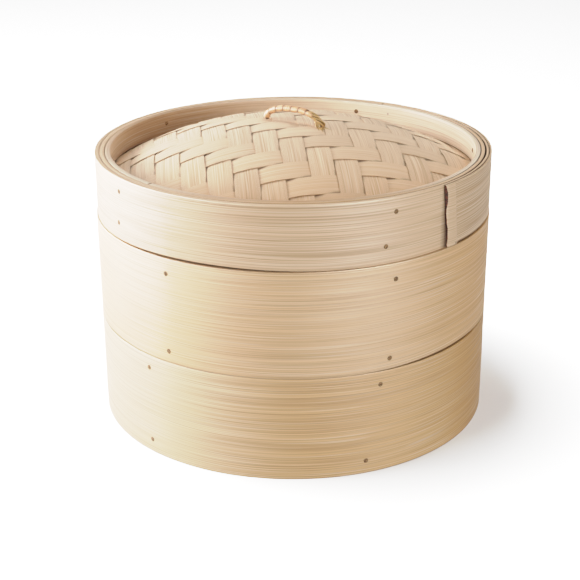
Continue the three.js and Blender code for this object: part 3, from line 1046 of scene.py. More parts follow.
@dataclass(frozen=True)
class Dome:
    """The part of a sphere that a woven mat lies on."""

    radius: float
    centre: float  # height of the sphere's centre

    @classmethod
    def of_lid(cls, edge_radius: float, rise: float, edge_below_rim: float) -> "Dome":
        """Finds the lid's dome from its edge circle.

        Args:
            edge_radius: The radius of the edge circle.
            rise: The height of the crown over it.
            edge_below_rim: How far it lies below the lid's rim.

        Returns:
            The dome.
        """
        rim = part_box("lid_outer_hoop")[1].z / MM
        radius = (edge_radius ** 2 + rise ** 2) / (2 * rise)
        return cls(radius, rim - edge_below_rim + rise - radius)


@dataclass(frozen=True)
class StripFamily:
    """The parallel strips of a twill that run one way."""

    name: str
    direction: float
    pitch: float
    offset: float  # of strip 0 from the middle
    first: int
    count: int
    side: float  # 1 for the warp, -1 for the weft
    slot: Slot
    finish: BambooFinish
    corner_from: float = 0.42  # how far towards a strip's edge the painted shade at its corners begins
    corner_painted_shade: float = 0.6

    def along(self) -> Vector:
        """The direction of the strips in plan."""
        turn = math.radians(self.direction)
        return Vector((math.cos(turn), math.sin(turn), 0))

    def across(self) -> Vector:
        """The direction from one strip to the next in plan."""
        turn = math.radians(self.direction)
        return Vector((-math.sin(turn), math.cos(turn), 0))


@dataclass
class TwillMat:
    """Two families of strips that pass over two and under two of each other, on a dome."""

    name: str
    dome: Dome
    warp: StripFamily
    weft: StripFamily
    reach: float
    thickness: float
    spacing: float  # between strips that lie side by side
    nodes: dict[str, list[str]]
    seed: int = 1

    BLANK = (2, 1, 1)
    STEPS = (140, 13, 2)
    RISE_FOR_THICKNESS = 1.5  # so that strips clear each other where they cross
    FLATNESS = 0.5  # of the floats between crossings, over a plain sine
    EDGE_POWER = 10.0  # how suddenly a strip thins towards its edges
    EDGE_LOSS = 0.4
    FRONT_PAINTED_SHADE = 1.3  # how golden the strips are at the front, as painted shade
    FRONT_SHADE_RIGHT = 10  # degrees right of the front where they are so
    GRAIN_STEP = 13.7  # between one strip's pattern and the next's
    SWINGS = (2.5, 5.3)  # of the unevenness, along half a strip and from strip to strip
    WIDTHS = (0.97, 1.03)  # least and greatest share of the width
    DRIFTS = (-0.45 * MM, 0.45 * MM)
    LIFTS = (-0.07 * MM, 0.07 * MM)

    def build(self) -> None:
        """Builds both families and dresses them."""
        self.weave(self.warp, self.weft)
        self.weave(self.weft, self.warp)

    def weave(self, family: StripFamily, other: StripFamily) -> None:
        """Builds one family of strips.

        Args:
            family: The strips to build.
            other: The strips that they cross.
        """
        shape = NodeShape(f"{self.name}_{family.name}_tree", {
            "Count": family.count,
            "First": float(family.first),
            "Pitch": family.pitch * MM,
            "Offset": family.offset * MM,
            "Width": (family.pitch - self.spacing) * MM,
            "Thickness": self.thickness * MM,
            "Rise": self.thickness * self.RISE_FOR_THICKNESS * MM,
            "Side": family.side,
            "Reach": self.reach * MM,
            "Dome Radius": self.dome.radius * MM,
            "Dome Centre": Vector((0, 0, self.dome.centre * MM)),
            "Along": family.along(),
            "Across": family.across(),
            "Crossed Axis": other.across() / (other.pitch * MM),
            "Crossed Offset": other.offset / other.pitch,
            "Corner From": family.corner_from,
            "Corner Painted Shade": family.corner_painted_shade,
            "Front Shade Axis": View.direction(self.FRONT_SHADE_RIGHT, 0) * (self.FRONT_PAINTED_SHADE / (self.reach * MM)),
            "Seed": self.seed,
        }, family.finish.material())
        self.bend(shape)
        piece = shape.make(f"{self.name}_{family.name}", sharp=50)
        hand_over(piece, Body.LID, self.nodes.get(family.name, []))

    def bend(self, shape: NodeShape) -> None:
        """Lays blanks side by side on the dome, each over two and under two of the other family.

        The height over the dome is a sine of the place along the strip, and the strip tilts with its cosine,
        so that its corners slip over one neighbour and under the next.

        Args:
            shape: The tree.
        """
        size = shape.inputs
        strips, number, (x, y, z) = shape.blanks(size["First"], self.BLANK, self.STEPS)
        width_share, drift, lift = self.unevenness(shape, x, number)
        width = shape.add(MATH, (size["Width"], width_share), operation="MULTIPLY")
        middle = shape.add(MATH, (number, size["Pitch"], size["Offset"]), operation="MULTIPLY_ADD")
        drifted = shape.add(MATH, (middle, drift), operation="ADD")
        lateral = shape.add(MATH, (y, width, drifted), operation="MULTIPLY_ADD")
        forward = shape.add(MATH, (x, shape.half_chord(lateral)), operation="MULTIPLY")
        lengthwise = shape.add(VECTOR_MATH, {0: size["Along"], "Scale": forward}, operation="SCALE")
        sideways = shape.add(VECTOR_MATH, {0: size["Across"], "Scale": lateral}, operation="SCALE")
        plan = shape.add(VECTOR_MATH, (lengthwise, sideways), operation="ADD")
        crossed = shape.add(VECTOR_MATH, (plan, size["Crossed Axis"]), "Value", operation="DOT_PRODUCT")
        crossing = shape.add(MATH, (crossed, size["Crossed Offset"]), operation="SUBTRACT")
        between = shape.add(MATH, (number, 0.5), operation="SUBTRACT")
        phase = shape.add(MATH, (crossing, between), operation="ADD")
        swing = shape.add(MATH, (phase, math.pi / 2), operation="MULTIPLY")
        sine = shape.add(MATH, (swing,), operation="SINE")
        cosine = shape.add(MATH, (swing,), operation="COSINE")
        square = shape.add(MATH, (sine, sine), operation="MULTIPLY")
        flatter = shape.add(MATH, (square, -self.FLATNESS, 1 + self.FLATNESS), operation="MULTIPLY_ADD")
        flattened = shape.add(MATH, (sine, flatter), operation="MULTIPLY")
        over = shape.add(MATH, (flattened, size["Rise"]), operation="MULTIPLY")
        tilt = shape.add(MATH, (cosine, size["Thickness"]), operation="MULTIPLY")
        lean = shape.add(MATH, (tilt, y), operation="MULTIPLY")
        leaning = shape.add(MATH, (over, lean), operation="SUBTRACT")
        thinned = shape.edge_share(y, self.EDGE_POWER, self.EDGE_LOSS)
        skin = shape.add(MATH, (z, thinned), operation="MULTIPLY")
        risen = shape.add(MATH, (leaning, size["Side"], size["Dome Radius"]), operation="MULTIPLY_ADD")
        face = shape.add(MATH, (skin, size["Thickness"], risen), operation="MULTIPLY_ADD")
        off = shape.add(MATH, (face, lift), operation="ADD")
        flat = shape.add(VECTOR_MATH, (plan, plan), "Value", operation="DOT_PRODUCT")
        dome_square = shape.add(MATH, (size["Dome Radius"], size["Dome Radius"]), operation="MULTIPLY")
        up_square = shape.add(MATH, (dome_square, flat), operation="SUBTRACT")
        up = shape.add(MATH, (up_square,), operation="SQRT")
        upright = shape.add("ShaderNodeCombineXYZ", {"Z": up})
        ray = shape.add(VECTOR_MATH, (plan, upright), operation="ADD")
        unit = shape.add(VECTOR_MATH, (ray,), operation="NORMALIZE")
        out = shape.add(VECTOR_MATH, {0: unit, "Scale": off}, operation="SCALE")
        woven = shape.add(VECTOR_MATH, (out, size["Dome Centre"]), operation="ADD")
        wide = shape.add(MATH, (y, width, skin), operation="MULTIPLY_ADD")
        corner = shape.add(MATH, (cosine, y), operation="MULTIPLY")
        shape.lay(strips, number, woven, {
            "grain": shape.add("ShaderNodeCombineXYZ", (
                shape.add(MATH, (forward, MM), operation="DIVIDE"),
                shape.add(MATH, (wide, MM), operation="DIVIDE"),
                shape.add(MATH, (number, self.GRAIN_STEP, size["Seed"]), operation="MULTIPLY_ADD"),
            )),
            # painted shade at the corners, where a strip dips under its neighbour
            "painted_shade_and_stain": shape.add("ShaderNodeMapRange", {
                "Value": shape.add(MATH, (corner, size["Side"]), operation="MULTIPLY"),
                "From Min": size["Corner From"], "From Max": 0.5, "To Max": size["Corner Painted Shade"],
            }),
            # golden towards the front: painted shade
            "ripeness_and_painted_shade": shape.add(VECTOR_MATH, (plan, size["Front Shade Axis"]), "Value", operation="DOT_PRODUCT"),
        })

    def unevenness(self, shape: NodeShape, along: Socket, number: Socket) -> list[Socket]:
        """Adds the small differences of hand-split strips.

        Args:
            shape: The tree.
            along: The place along the strip, from -1 to 1.
            number: The strip's number.

        Returns:
            The share of the width, and the sideways and upward drift in metres.
        """
        key = shape.add("ShaderNodeCombineXYZ", (
            shape.add(MATH, (along, self.SWINGS[0]), operation="MULTIPLY"),
            shape.add(MATH, (number, self.SWINGS[1]), operation="MULTIPLY"),
            shape.inputs["Seed"],
        ))
        swings = shape.add("ShaderNodeTexNoise", {
            "Vector": key, "Scale": 1, "Detail": 1, "Roughness": 0.5,
        }, output="Color")
        parts = add_node(shape.tree, "ShaderNodeSeparateXYZ", (swings,)).outputs
        spans = (self.WIDTHS, self.DRIFTS, self.LIFTS)
        return [
            shape.add(MATH, (part, high - low, low), operation="MULTIPLY_ADD")
            for part, (low, high) in zip(parts, spans)
        ]


@dataclass
class Rack:
    """The slats of one tier's rack, and the two half canes that carry them."""

    name: str
    body: Body
    reach: float = 98.0
    slat_width: float = 11.0
    slat_pitch: float = 15.6
    slat_count: int = 12
    slat_thickness: float = 2.8
    bar_width: float = 12.0
    bar_height: float = 5.5
    bar_offset: float = 42.0

    BLANK = (1, 2, 1)
    STEPS = (9, 40, 3)
    EDGE_POWER = 5.0  # how suddenly a slat thins towards its edges
    EDGE_LOSS = 0.45
    GRAIN_STEP = 9.1
    BAR_SIDES = 14
    BAR_STEPS = 40
    BAR_SWELL = 0.04  # how uneven a bar is along its length
    BAR_SWING = 22  # millimetres in one unit of that
    SIDE_GRAIN = 1.3  # of a bar's pattern from side to side
    FLAT_GRAIN = 40  # where the pattern of its flat face lies

    def build(self) -> None:
        """Builds the slats and the bars and dresses them."""
        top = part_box(f"{self.name}_rack")[1].z / MM
        self.slats(top)
        self.bars(top - self.slat_thickness)

    def slats(self, top: float) -> None:
        """Builds the slats by a rule: parallel strips whose ends follow the wall.

        Args:
            top: The height of the slats' upper faces.
        """
        shape = NodeShape(f"{self.name}_slat_tree", {
            "Count": self.slat_count,
            "Pitch": self.slat_pitch * MM,
            "Width": self.slat_width * MM,
            "Thickness": self.slat_thickness * MM,
            "Reach": self.reach * MM,
            "Middle": Vector((0, 0, (top - self.slat_thickness / 2) * MM)),
            "Seed": 3,
        }, INNER_HOOP.material())
        size = shape.inputs
        last = shape.add(MATH, (size["Count"], 1.0), operation="SUBTRACT")
        first = shape.add(MATH, (last, -0.5), operation="MULTIPLY")
        strips, number, (x, y, z) = shape.blanks(first, self.BLANK, self.STEPS)
        across = shape.add(MATH, (x, size["Width"]), operation="MULTIPLY")
        sideways = shape.add(MATH, (number, size["Pitch"], across), operation="MULTIPLY_ADD")
        forward = shape.add(MATH, (y, shape.half_chord(sideways)), operation="MULTIPLY")
        thinned = shape.edge_share(x, self.EDGE_POWER, self.EDGE_LOSS)
        skin = shape.add(MATH, (z, thinned), operation="MULTIPLY")
        up = shape.add(MATH, (skin, size["Thickness"]), operation="MULTIPLY")
        spread = shape.add("ShaderNodeCombineXYZ", (sideways, forward, up))
        place = shape.add(VECTOR_MATH, (spread, size["Middle"]), operation="ADD")
        shape.lay(strips, number, place, {
            "grain": shape.add("ShaderNodeCombineXYZ", (
                shape.add(MATH, (forward, MM), operation="DIVIDE"),
                shape.add(MATH, (x, self.slat_width, z), operation="MULTIPLY_ADD"),
                shape.add(MATH, (number, self.GRAIN_STEP, size["Seed"]), operation="MULTIPLY_ADD"),
            )),
        })
        piece = shape.make(f"{self.name}_rack_slats", sharp=50)
        hand_over(piece, self.body, [f"{self.name}_rack"])

    def bars(self, top: float) -> None:
        """Builds the two half canes under the slats, flat side up.

        Args:
            top: The height of the slats' lower faces.
        """
        skin = Skin()
        half = math.sqrt(self.reach ** 2 - (self.bar_offset + self.bar_width / 2) ** 2)
        for y in (-self.bar_offset, self.bar_offset):
            rings = []
            for step in range(self.BAR_STEPS + 1):
                x = half * (2 * step / self.BAR_STEPS - 1)
                swell = 1 + self.BAR_SWELL * wander(x / self.BAR_SWING, y)
                middle = Vector((x, y, top))
                ring = []
                for side in range(self.BAR_SIDES + 1):
                    turn = math.pi * (1 + side / self.BAR_SIDES)
                    away = Vector((0, math.cos(turn) * self.bar_width / 2, math.sin(turn) * self.bar_height))
                    ring.append(skin.add_point(middle + away * swell, Vector((x, side * self.SIDE_GRAIN, y))))
                rings.append(ring + [skin.add_point(middle, Vector((x, self.FLAT_GRAIN, y)))])
            skin.loft(rings)
        piece = skin.make(f"{self.name}_rack_bars", [INNER_HOOP.material(), SAWN_END.material()])
        hand_over(piece, self.body)


@dataclass(frozen=True)
class PegRow:
    """Pegs at one height on a hoop's face."""

    hoop: BentHoop
    height: float
    rights: tuple[float, ...]  # degrees right of the front
    inner_face: bool = False

    def places(self) -> list[tuple[Vector, Vector]]:
        """Finds the pegs.

        Returns:
            The middle of each peg's end, and the direction that it faces.
        """
        found = []
        for right in self.rights:
            angle = View.angle(right)
            turn = math.radians(angle)
            out = Vector((math.cos(turn), math.sin(turn), 0))
            radius = self.hoop.inside if self.inner_face else self.hoop.outer_radius(angle)
            found.append((out * radius + Vector((0, 0, self.height)), -out if self.inner_face else out))
        return found


@dataclass
class Pegs:
    """The ends of the bamboo pegs that hold one body's hoops together."""

    body: Body
    rows: list[PegRow]
    radius: float = 1.25
    crown: float = 0.28  # how far the middle of a peg's end stands out

    def build(self) -> None:
        """Builds the pegs of the body as one piece."""
        places = [place for row in self.rows for place in row.places()]
        base = bpy.data.meshes.new("peg_places")
        base.from_pydata([point * MM for point, _ in places], [], [])
        facing = base.attributes.new("facing", "FLOAT_VECTOR", "POINT")
        facing.data.foreach_set("vector", [part for _, out in places for part in out])
        name = f"{self.body.value}_pegs"
        shape = NodeShape(f"{name}_tree", {
            "Head Size": Vector((self.radius, self.radius, self.crown)) * MM,
        }, PEG_END.material())
        out = shape.add("GeometryNodeInputNamedAttribute", {"Name": "facing"}, data_type="FLOAT_VECTOR")
        copies = shape.add("GeometryNodeInstanceOnPoints", {
            "Points": shape.inputs["Geometry"],
            "Instance": shape.add("GeometryNodeMeshUVSphere", {"Segments": 12, "Rings": 6, "Radius": 1.0}),
            "Rotation": shape.add("FunctionNodeAlignRotationToVector", {"Vector": out}, axis="Z"),
            "Scale": shape.inputs["Head Size"],
        })
        shape.finish(copies)
        hand_over(shape.make(name, base), self.body)


@dataclass
class Handle:
    """A loop of cane through the mat, wound with tape, with frayed strands at one foot."""

    span: float = 32.0
    rise: float = 6.8
    corner_reach: float = 14.0
    corner_height: float = 6.5
    cad_radius: float = 1.1
    core_radius: float = 1.0
    core_darkness: float = 0.7
    dip: float = 4.0  # how far the legs go down into the mat
    tape_gap: float = 0.08
    tape_thickness: float = 0.55
    tape_width: float = 4.1
    tape_pitch: float = 4.4
    tape_share: float = 0.735  # of the line that the tape covers
    tape_below: float = 0.6  # how far under the mat's surface the tape begins
    tape_upright: float = 0.7  # how far the front of each turn is square to the line
    tape_front: float = math.radians(-65)
    tape_flat: float = 0.82  # of the tape's thickness that is left at its edges
    # painted shade at the tape's edges, between its turns
    tape_edge_shade: float = 0.6
    strand_count: int = 10
    strand_radius: float = 0.45
    strand_under: float = 2.0  # how far the strands reach under the tape
    strand_twist: float = 3.2  # radians along a strand
    flare: float = 1.7  # how far the strands spread at the foot
    fray_step: float = 0.7

    STEPS = 90
    CORE_SIDES = 12
    CORNER_STEPS = 40
    TURN_STEPS = 28
    TAPE_ROWS = (-1.0, -0.85, -0.5, 0.0, 0.5, 0.85, 1.0)
    TAPE_BULGE = 0.97  # how near the tape's edges lie to where its bulge would end
    TAPE_WIDTH_WANDER = 0.05
    TAPE_THICKNESS_WANDER = 0.12
    TAPE_TURN_GRAIN = 10  # length of the pattern in one turn
    TAPE_EDGE_POWER = 6  # how close to its edges the painted shade between turns lies
    # painted shade on the tape's hidden back
    TAPE_BACK_SHADE = 0.8
    STRAND_STEPS = 25
    STRAND_SIDES = 6
    STRAND_HUG = 0.7  # how close the strands lie to the core, as a share of their radius
    STRAND_STAGGER = 5.0  # how much later some strands begin
    STRAND_SWAY = 0.5  # radians that a strand strays round the core
    STRAND_FOOT = 0.4  # how far below the mat's surface they leave the core
    FLARE_FROM = 0.55  # share of a strand where it begins to spread
    FLARE_SPAN = (0.6, 0.4)  # mean share of the flare, and how much strands differ
    FRAY_WAY = (1.1, -0.7, -0.14)  # where the loose ends point
    FRAY_WANDER = (0.6, 0.9)  # how much they differ along X and Y
    TIPS = (0.35, 0.3)  # share of the radius that is left at a strand's first and last end
    TIP_SLOPE = 4  # how quickly it is full
    STRAND_GRAIN = (0.8, 0.4, 3.3)  # steps of the pattern along a strand, round it and between strands
    STRAND_FLATNESS = (1.4, 0.8)  # how wide and how thick a strand is, as shares of its radius

    def __post_init__(self) -> None:
        """Works out the arch's line from the CAD handle: two legs, two oval corners and a level stretch."""
        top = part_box("handle_core")[1].z / MM - self.cad_radius
        side = self.span / 2
        height = top - self.corner_height
        self.route = [Vector((-side, 0, top - self.rise - self.dip))]
        for step in range(self.CORNER_STEPS + 1):
            turn = math.pi / 2 * step / self.CORNER_STEPS
            across = self.corner_reach * (1 - math.cos(turn)) - side
            self.route.append(Vector((across, 0, height + self.corner_height * math.sin(turn))))
        self.route += [Vector((-point.x, 0, point.z)) for point in reversed(self.route)]
        self.lengths = [0.0]
        for before, after in zip(self.route, self.route[1:]):
            self.lengths.append(self.lengths[-1] + (after - before).length)
        self.length = self.lengths[-1]

    def line(self, distance: float) -> tuple[Vector, Vector]:
        """A point on the middle line of the arch, and the way that the line runs there.

        Args:
            distance: Length along the line from the hidden end of the leg at -X.

        Returns:
            The point and the unit tangent.
        """
        place = min(len(self.route) - 1, max(1, bisect.bisect(self.lengths, distance)))
        before, after = self.route[place - 1], self.route[place]
        tangent = (after - before).normalized()
        return before + tangent * (distance - self.lengths[place - 1]), tangent

    def around(self, distance: float, turn: float, radius: float) -> Vector:
        """A point off the middle line.

        Args:
            distance: Length along the line.
            turn: The angle round the line, in radians.
            radius: The distance from the line.

        Returns:
            The point.
        """
        point, tangent = self.line(min(self.length, max(0.0, distance)))
        sideways = Vector((0, 1, 0))
        outward = tangent.cross(sideways)
        return point + (outward * math.cos(turn) + sideways * math.sin(turn)) * radius

    def build(self) -> None:
        """Builds the core, the tape and the frayed strands."""
        self.core()
        self.tape()
        self.strands()

    def core(self) -> None:
        """Builds the cane inside the tape."""
        skin = Skin()
        rings = []
        for step in range(self.STEPS + 1):
            distance = self.length * step / self.STEPS
            ring = []
            for side in range(self.CORE_SIDES):
                place = self.around(distance, 2 * math.pi * side / self.CORE_SIDES, self.core_radius)
                ring.append(skin.add_point(place, Vector((distance, side, 0)), painted_shade_and_stain=self.core_darkness))
            rings.append(ring)
        skin.loft(rings)
        piece = skin.make("handle_cane", [RATTAN.material()])
        hand_over(piece, Body.LID, ["handle_core"])

    def tape(self) -> None:
        """Winds the tape along the arch in one unbroken helix, bulged across its width."""
        skin = Skin()
        near = self.core_radius + self.tape_gap
        start = self.dip - self.tape_below
        turns = (self.length * self.tape_share - start) / self.tape_pitch
        count = round(turns * self.TURN_STEPS)
        rings = []
        for step in range(count + 1):
            turned = turns * step / count
            turn = 2 * math.pi * turned
            slant = self.tape_upright * math.sin(turn - self.tape_front) / (2 * math.pi)
            distance = start + (turned - slant) * self.tape_pitch
            width = self.tape_width * (1 + self.TAPE_WIDTH_WANDER * wander(turned * 2, 6))
            thickness = self.tape_thickness * (1 + self.TAPE_THICKNESS_WANDER * wander(turned * 3, 8))
            outer = []
            inner = []
            for share in self.TAPE_ROWS:
                place = distance + share * width / 2
                bulge = math.sqrt(max(0.0, 1 - (self.TAPE_BULGE * share) ** 2))
                lift = near + thickness * (self.tape_flat + (1 - self.tape_flat) * bulge)
                grain = Vector((turned * self.TAPE_TURN_GRAIN, share * width / 2, 5))
                # painted shade between turns and on the hidden back
                painted_shade_and_stain = self.tape_edge_shade * abs(share) ** self.TAPE_EDGE_POWER
                outer.append(skin.add_point(self.around(place, turn, lift), grain, painted_shade_and_stain=painted_shade_and_stain))
                inner.append(skin.add_point(self.around(place, turn, near), grain, painted_shade_and_stain=self.TAPE_BACK_SHADE))
            rings.append(outer + inner[::-1])
        skin.loft(rings)
        piece = skin.make("handle_tape_winding", [HANDLE_TAPE.material()])
        hand_over(piece, Body.LID, ["handle_wrap"])

    def strands(self) -> None:
        """Twists split strands round the last stretch of the arch and lets them fray at its foot."""
        skin = Skin()
        begin = self.length * self.tape_share - self.strand_under
        end = self.length - self.dip + self.STRAND_FOOT
        hug = self.core_radius + self.strand_radius * self.STRAND_HUG
        mean, difference = self.FLARE_SPAN
        right, back, up = self.FRAY_WAY
        for strand in range(self.strand_count):
            reach = begin + self.STRAND_STAGGER * abs(wander(strand * 2.3, 1))
            spread = self.flare * (mean + difference * wander(strand * 1.7, 3))
            points = []
            for step in range(self.STRAND_STEPS + 1):
                along = step / self.STRAND_STEPS
                turn = 2 * math.pi * strand / self.strand_count + self.strand_twist * along
                turn += self.STRAND_SWAY * wander(along * 3 + strand, 2)
                radius = hug + spread * smoothstep(self.FLARE_FROM, 1.0, along)
                points.append(self.around(reach + (end - reach) * along, turn, radius))
            tail = points[-1]
            stray_x = self.FRAY_WANDER[0] * wander(strand, 4)
            stray_y = self.FRAY_WANDER[1] * wander(strand * 1.3, 5)
            fray = Vector((right + stray_x, back + stray_y, up))
            points += [tail + fray * (self.fray_step * step) for step in range(1, 3 + strand % 6)]
            self.add_tube(skin, points, strand)
        hand_over(skin.make("handle_frayed_strands", [RATTAN.material()]), Body.LID)

    def add_tube(self, skin: Skin, points: Sequence[Vector], number: int) -> None:
        """Adds one thin strand that follows the points and tapers to its ends.

        Args:
            skin: The mesh that gets the strand.
            points: The strand's middle line.
            number: The strand's number.
        """
        rings = []
        wide, thick = self.STRAND_FLATNESS
        first, last = self.TIPS
        along, round_it, apart = self.STRAND_GRAIN
        for place, point in enumerate(points):
            before = points[max(0, place - 1)]
            after = points[min(len(points) - 1, place + 1)]
            turn = (after - before).to_track_quat("Z", "Y")
            share = place / (len(points) - 1)
            tip = min(first + self.TIP_SLOPE * share, last + self.TIP_SLOPE * (1 - share))
            radius = self.strand_radius * min(1.0, tip)
            ring = []
            for side in range(self.STRAND_SIDES):
                angle = 2 * math.pi * side / self.STRAND_SIDES
                away = turn @ Vector((math.cos(angle) * radius * wide, math.sin(angle) * radius * thick, 0))
                grain = Vector((place * along, side * round_it, number * apart))
                ring.append(skin.add_point(point + away, grain))
            rings.append(ring)
        skin.loft(rings)


# Sub-assemblies


@dataclass
class FootHoop(BentHoop):
    """The hoop under a rack, notched for the ends of the two bars."""

    clearance: float = 0.4

    NOTCH_EDGE = 1.0  # how much wider the notch is at its mouth

    def upper_edge(self, turned: float, angle: float) -> float:
        """Lets the upper edge follow the bars' round undersides.

        Args:
            turned: The turned angle.
            angle: The object's own angle.

        Returns:
            How far the upper edge is raised.
        """
        y = (self.inside + self.thickness / 2) * math.sin(math.radians(angle))
        away = (abs(y) - Rack.bar_offset) / (Rack.bar_width / 2 + self.clearance + self.NOTCH_EDGE)
        if abs(away) >= 1:
            return super().upper_edge(turned, angle)
        return -(Rack.bar_height - self.clearance) * math.sqrt(1 - away * away)


@dataclass
class Tier:
    """A basket: outer wall, neck, foot hoop, rack and pegs."""

    name: str
    body: Body
    wall: BambooFinish
    seed: float
    peg_heights: tuple[float, float]
    top_pegs: tuple[float, ...]  # degrees right of the front
    foot_pegs: tuple[float, ...]
    gaps: tuple[Stretch, ...] = ()
    reach_down: float = 0.0
    golden_and_shaded: tuple[Stretch, ...] = ()
    painted_shade_and_stains: tuple[Stretch, ...] = ()
    scraped: tuple[Stretch, ...] = (Stretch(View.angle(0), 42, 0.4), Stretch(View.angle(62), 34, 0.45))

    def build(self) -> None:
        """Builds the basket's pieces in order."""
        wall = TierWall(
            f"{self.name}_outer_hoop", self.body, Slot.WALL, self.wall,
            inside=98.5, thickness=3.0, start=172, seed=self.seed, turn=-1,
            hides_inside=0.15, hides_top=0.7, hides_bottom=0.3, reach_down=self.reach_down,
            gaps=self.gaps, scraped=self.scraped, golden_and_shaded=self.golden_and_shaded, painted_shade_and_stains=self.painted_shade_and_stains,
        )
        neck = BentHoop(
            f"{self.name}_neck_hoop", self.body, Slot.INNER, INNER_HOOP,
            inside=94.8, thickness=3.2, start=90, seed=self.seed + 1,
            hides_outside=0.7, hides_top=0.1, dark_span=(0.985, 0.93),
        )
        foot = FootHoop(
            f"{self.name}_foot_hoop", self.body, Slot.INNER, INNER_HOOP,
            inside=95.0, thickness=3.2, start=-90, seed=self.seed + 2, hides_outside=0.6,
        )
        for hoop in (wall, neck, foot):
            hoop.build()
        Rack(self.name, self.body).build()
        high, low = self.peg_heights
        Pegs(self.body, [
            PegRow(wall, high, self.top_pegs),
            PegRow(wall, low, self.foot_pegs),
            PegRow(neck, high, self.top_pegs, inner_face=True),
        ]).build()


@dataclass
class Lid:
    """The lid: four hoops that clamp a woven dome, its lining, pegs and the handle."""

    seam_at: float = -13.5
    gapes_at: float = View.angle(75)  # where the layers of the rim stand apart
    edge_radius: float = 93.2
    rise: float = 22.0  # of the CAD dome over its edge
    edge_below_rim: float = 11.0
    edge_drop: float = 2.0  # how much lower the dome's edge lies than the CAD dome's
    lining_drop: float = 1.9  # from the dome down to the lining

    # shares of the height between which painted shade on the hidden faces fades in
    DARK_SPAN = (0.35, 0.7)
    # more golden towards the front, like the weave: painted shade
    PAINTED_FRONT_SHADE = Stretch(View.angle(4), 62, 0.75)

    def build(self) -> None:
        """Builds the lid's pieces in order."""
        band, inner = self.hoops()
        self.mats()
        Handle().build()
        Pegs(Body.LID, [
            PegRow(band, 131.5, (27.7, -55, -154, 116)),
            PegRow(band, 115.5, (24.8, -56, -156, 114)),
            PegRow(inner, 133.0, (229, 157, 93, 22, -55), inner_face=True),
        ]).build()

    def hoops(self) -> tuple[BentHoop, BentHoop]:
        """Builds the hoops.

        Returns:
            The outer and the inner hoop.
        """
        band = LidBand(
            "lid_outer_hoop", Body.LID, Slot.WALL, LID_BAND,
            inside=98.5, thickness=2.4, start=self.seam_at, seed=11,
            hides_inside=0.9, hides_top=0.1, reach_down=0.2, gapes_at=self.gapes_at,
            gaps=(Stretch(View.angle(-26), 38, 0.9),), scraped=(Stretch(View.angle(0), 42, 0.36),),
            painted_shade_and_stains=(Stretch(View.angle(61), 24, 0.15),),
        )
        core = BentHoop(
            "lid_core_hoop", Body.LID, Slot.INNER, LID_BAND,
            inside=95.9, thickness=2.3, start=90, seed=12,
            hides_outside=1.0, hides_inside=0.9, hides_top=0.04, dark_span=self.DARK_SPAN,
            gapes_at=self.gapes_at, gape_depth=0.4, golden_and_shaded=(self.PAINTED_FRONT_SHADE,),
        )
        inner = BentHoop(
            "lid_inner_hoop", Body.LID, Slot.WALL, LID_LINER,
            inside=self.edge_radius, thickness=2.4, start=-102.7, seed=13,
            hides_outside=0.9, hides_top=0.2, dark_span=self.DARK_SPAN, gapes_at=self.gapes_at,
            # darker and more golden at the back left: painted shade on the side away from the key light, with
            # some real colour change
            painted_shade_and_stains=(Stretch(View.angle(-124), 60, 0.36),),
            golden_and_shaded=(Stretch(View.angle(-124), 80, 0.72), self.PAINTED_FRONT_SHADE), reach_down=self.edge_drop,
        )
        support = BentHoop(
            "lid_support_hoop", Body.LID, Slot.INNER, INNER_HOOP,
            inside=self.edge_radius, thickness=2.4, start=180, seed=14,
            hides_outside=0.6, cut_down=self.edge_drop,
        )
        for hoop in (band, core, inner, support):
            hoop.build()
        return band, inner

    def mats(self) -> None:
        """Builds the woven dome and the coarser mat that lines it."""
        dome = Dome.of_lid(self.edge_radius, self.rise + self.edge_drop, self.edge_below_rim + self.edge_drop)
        kinds = ("warp", "weft")
        TwillMat(
            "lid_weave", dome,
            StripFamily("warp", -52.2, 12.13, -3.98, -7, 16, 1.0, Slot.WARP, WARP_STRIP),
            StripFamily("weft", 43.5, 12.83, -3.92, -7, 15, -1.0, Slot.WEFT, WEFT_STRIP, 0.36, 1.0),
            reach=94.6, thickness=0.38, spacing=0.3, seed=5,
            nodes={kind: [name for name in sorted(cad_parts) if f"_{kind}_" in name] for kind in kinds},
        ).build()
        TwillMat(
            "lid_lining_mat", Dome(dome.radius - self.lining_drop, dome.centre),
            StripFamily("warp", 82, 17, -2, -5, 11, 1.0, Slot.INNER, INNER_HOOP),
            StripFamily("weft", -8, 17, 3, -5, 11, -1.0, Slot.INNER, INNER_HOOP),
            reach=95.2, thickness=0.34, spacing=0.6, seed=8, nodes={"warp": ["lid_lining"]},
        ).build()


# Studio

WHITE = (1.0, 1.0, 1.0)
WARM_WHITE = (1.0, 0.965, 0.98)


@dataclass(frozen=True)
class SoftLight:
    """A square soft light that faces the object."""

    name: str
    right: float  # of the camera
    up: float  # over the horizon
    size: float
    watts: float
    distance: float = 1300
    card: bool = False  # a white card, which is seen only in reflections
    tint: tuple[float, float, float] = WHITE

    def build(self) -> Piece:
        """Adds the light to the scene.

        Returns:
            The light.
        """
        data = bpy.data.lights.new(self.name, "AREA")
        data.energy = self.watts
        data.color = self.tint
        data.size = self.size * MM
        light = bpy.data.objects.new(self.name, data)
        out = View.direction(self.right, self.up)
        place = Vector((0, 0, View.target_height)) + out * self.distance
        light.matrix_world = Matrix.LocRotScale(place * MM, out.to_track_quat("Z", "Y"), None)
        light.visible_diffuse = not self.card
        bpy.context.scene.collection.objects.link(light)
        return light


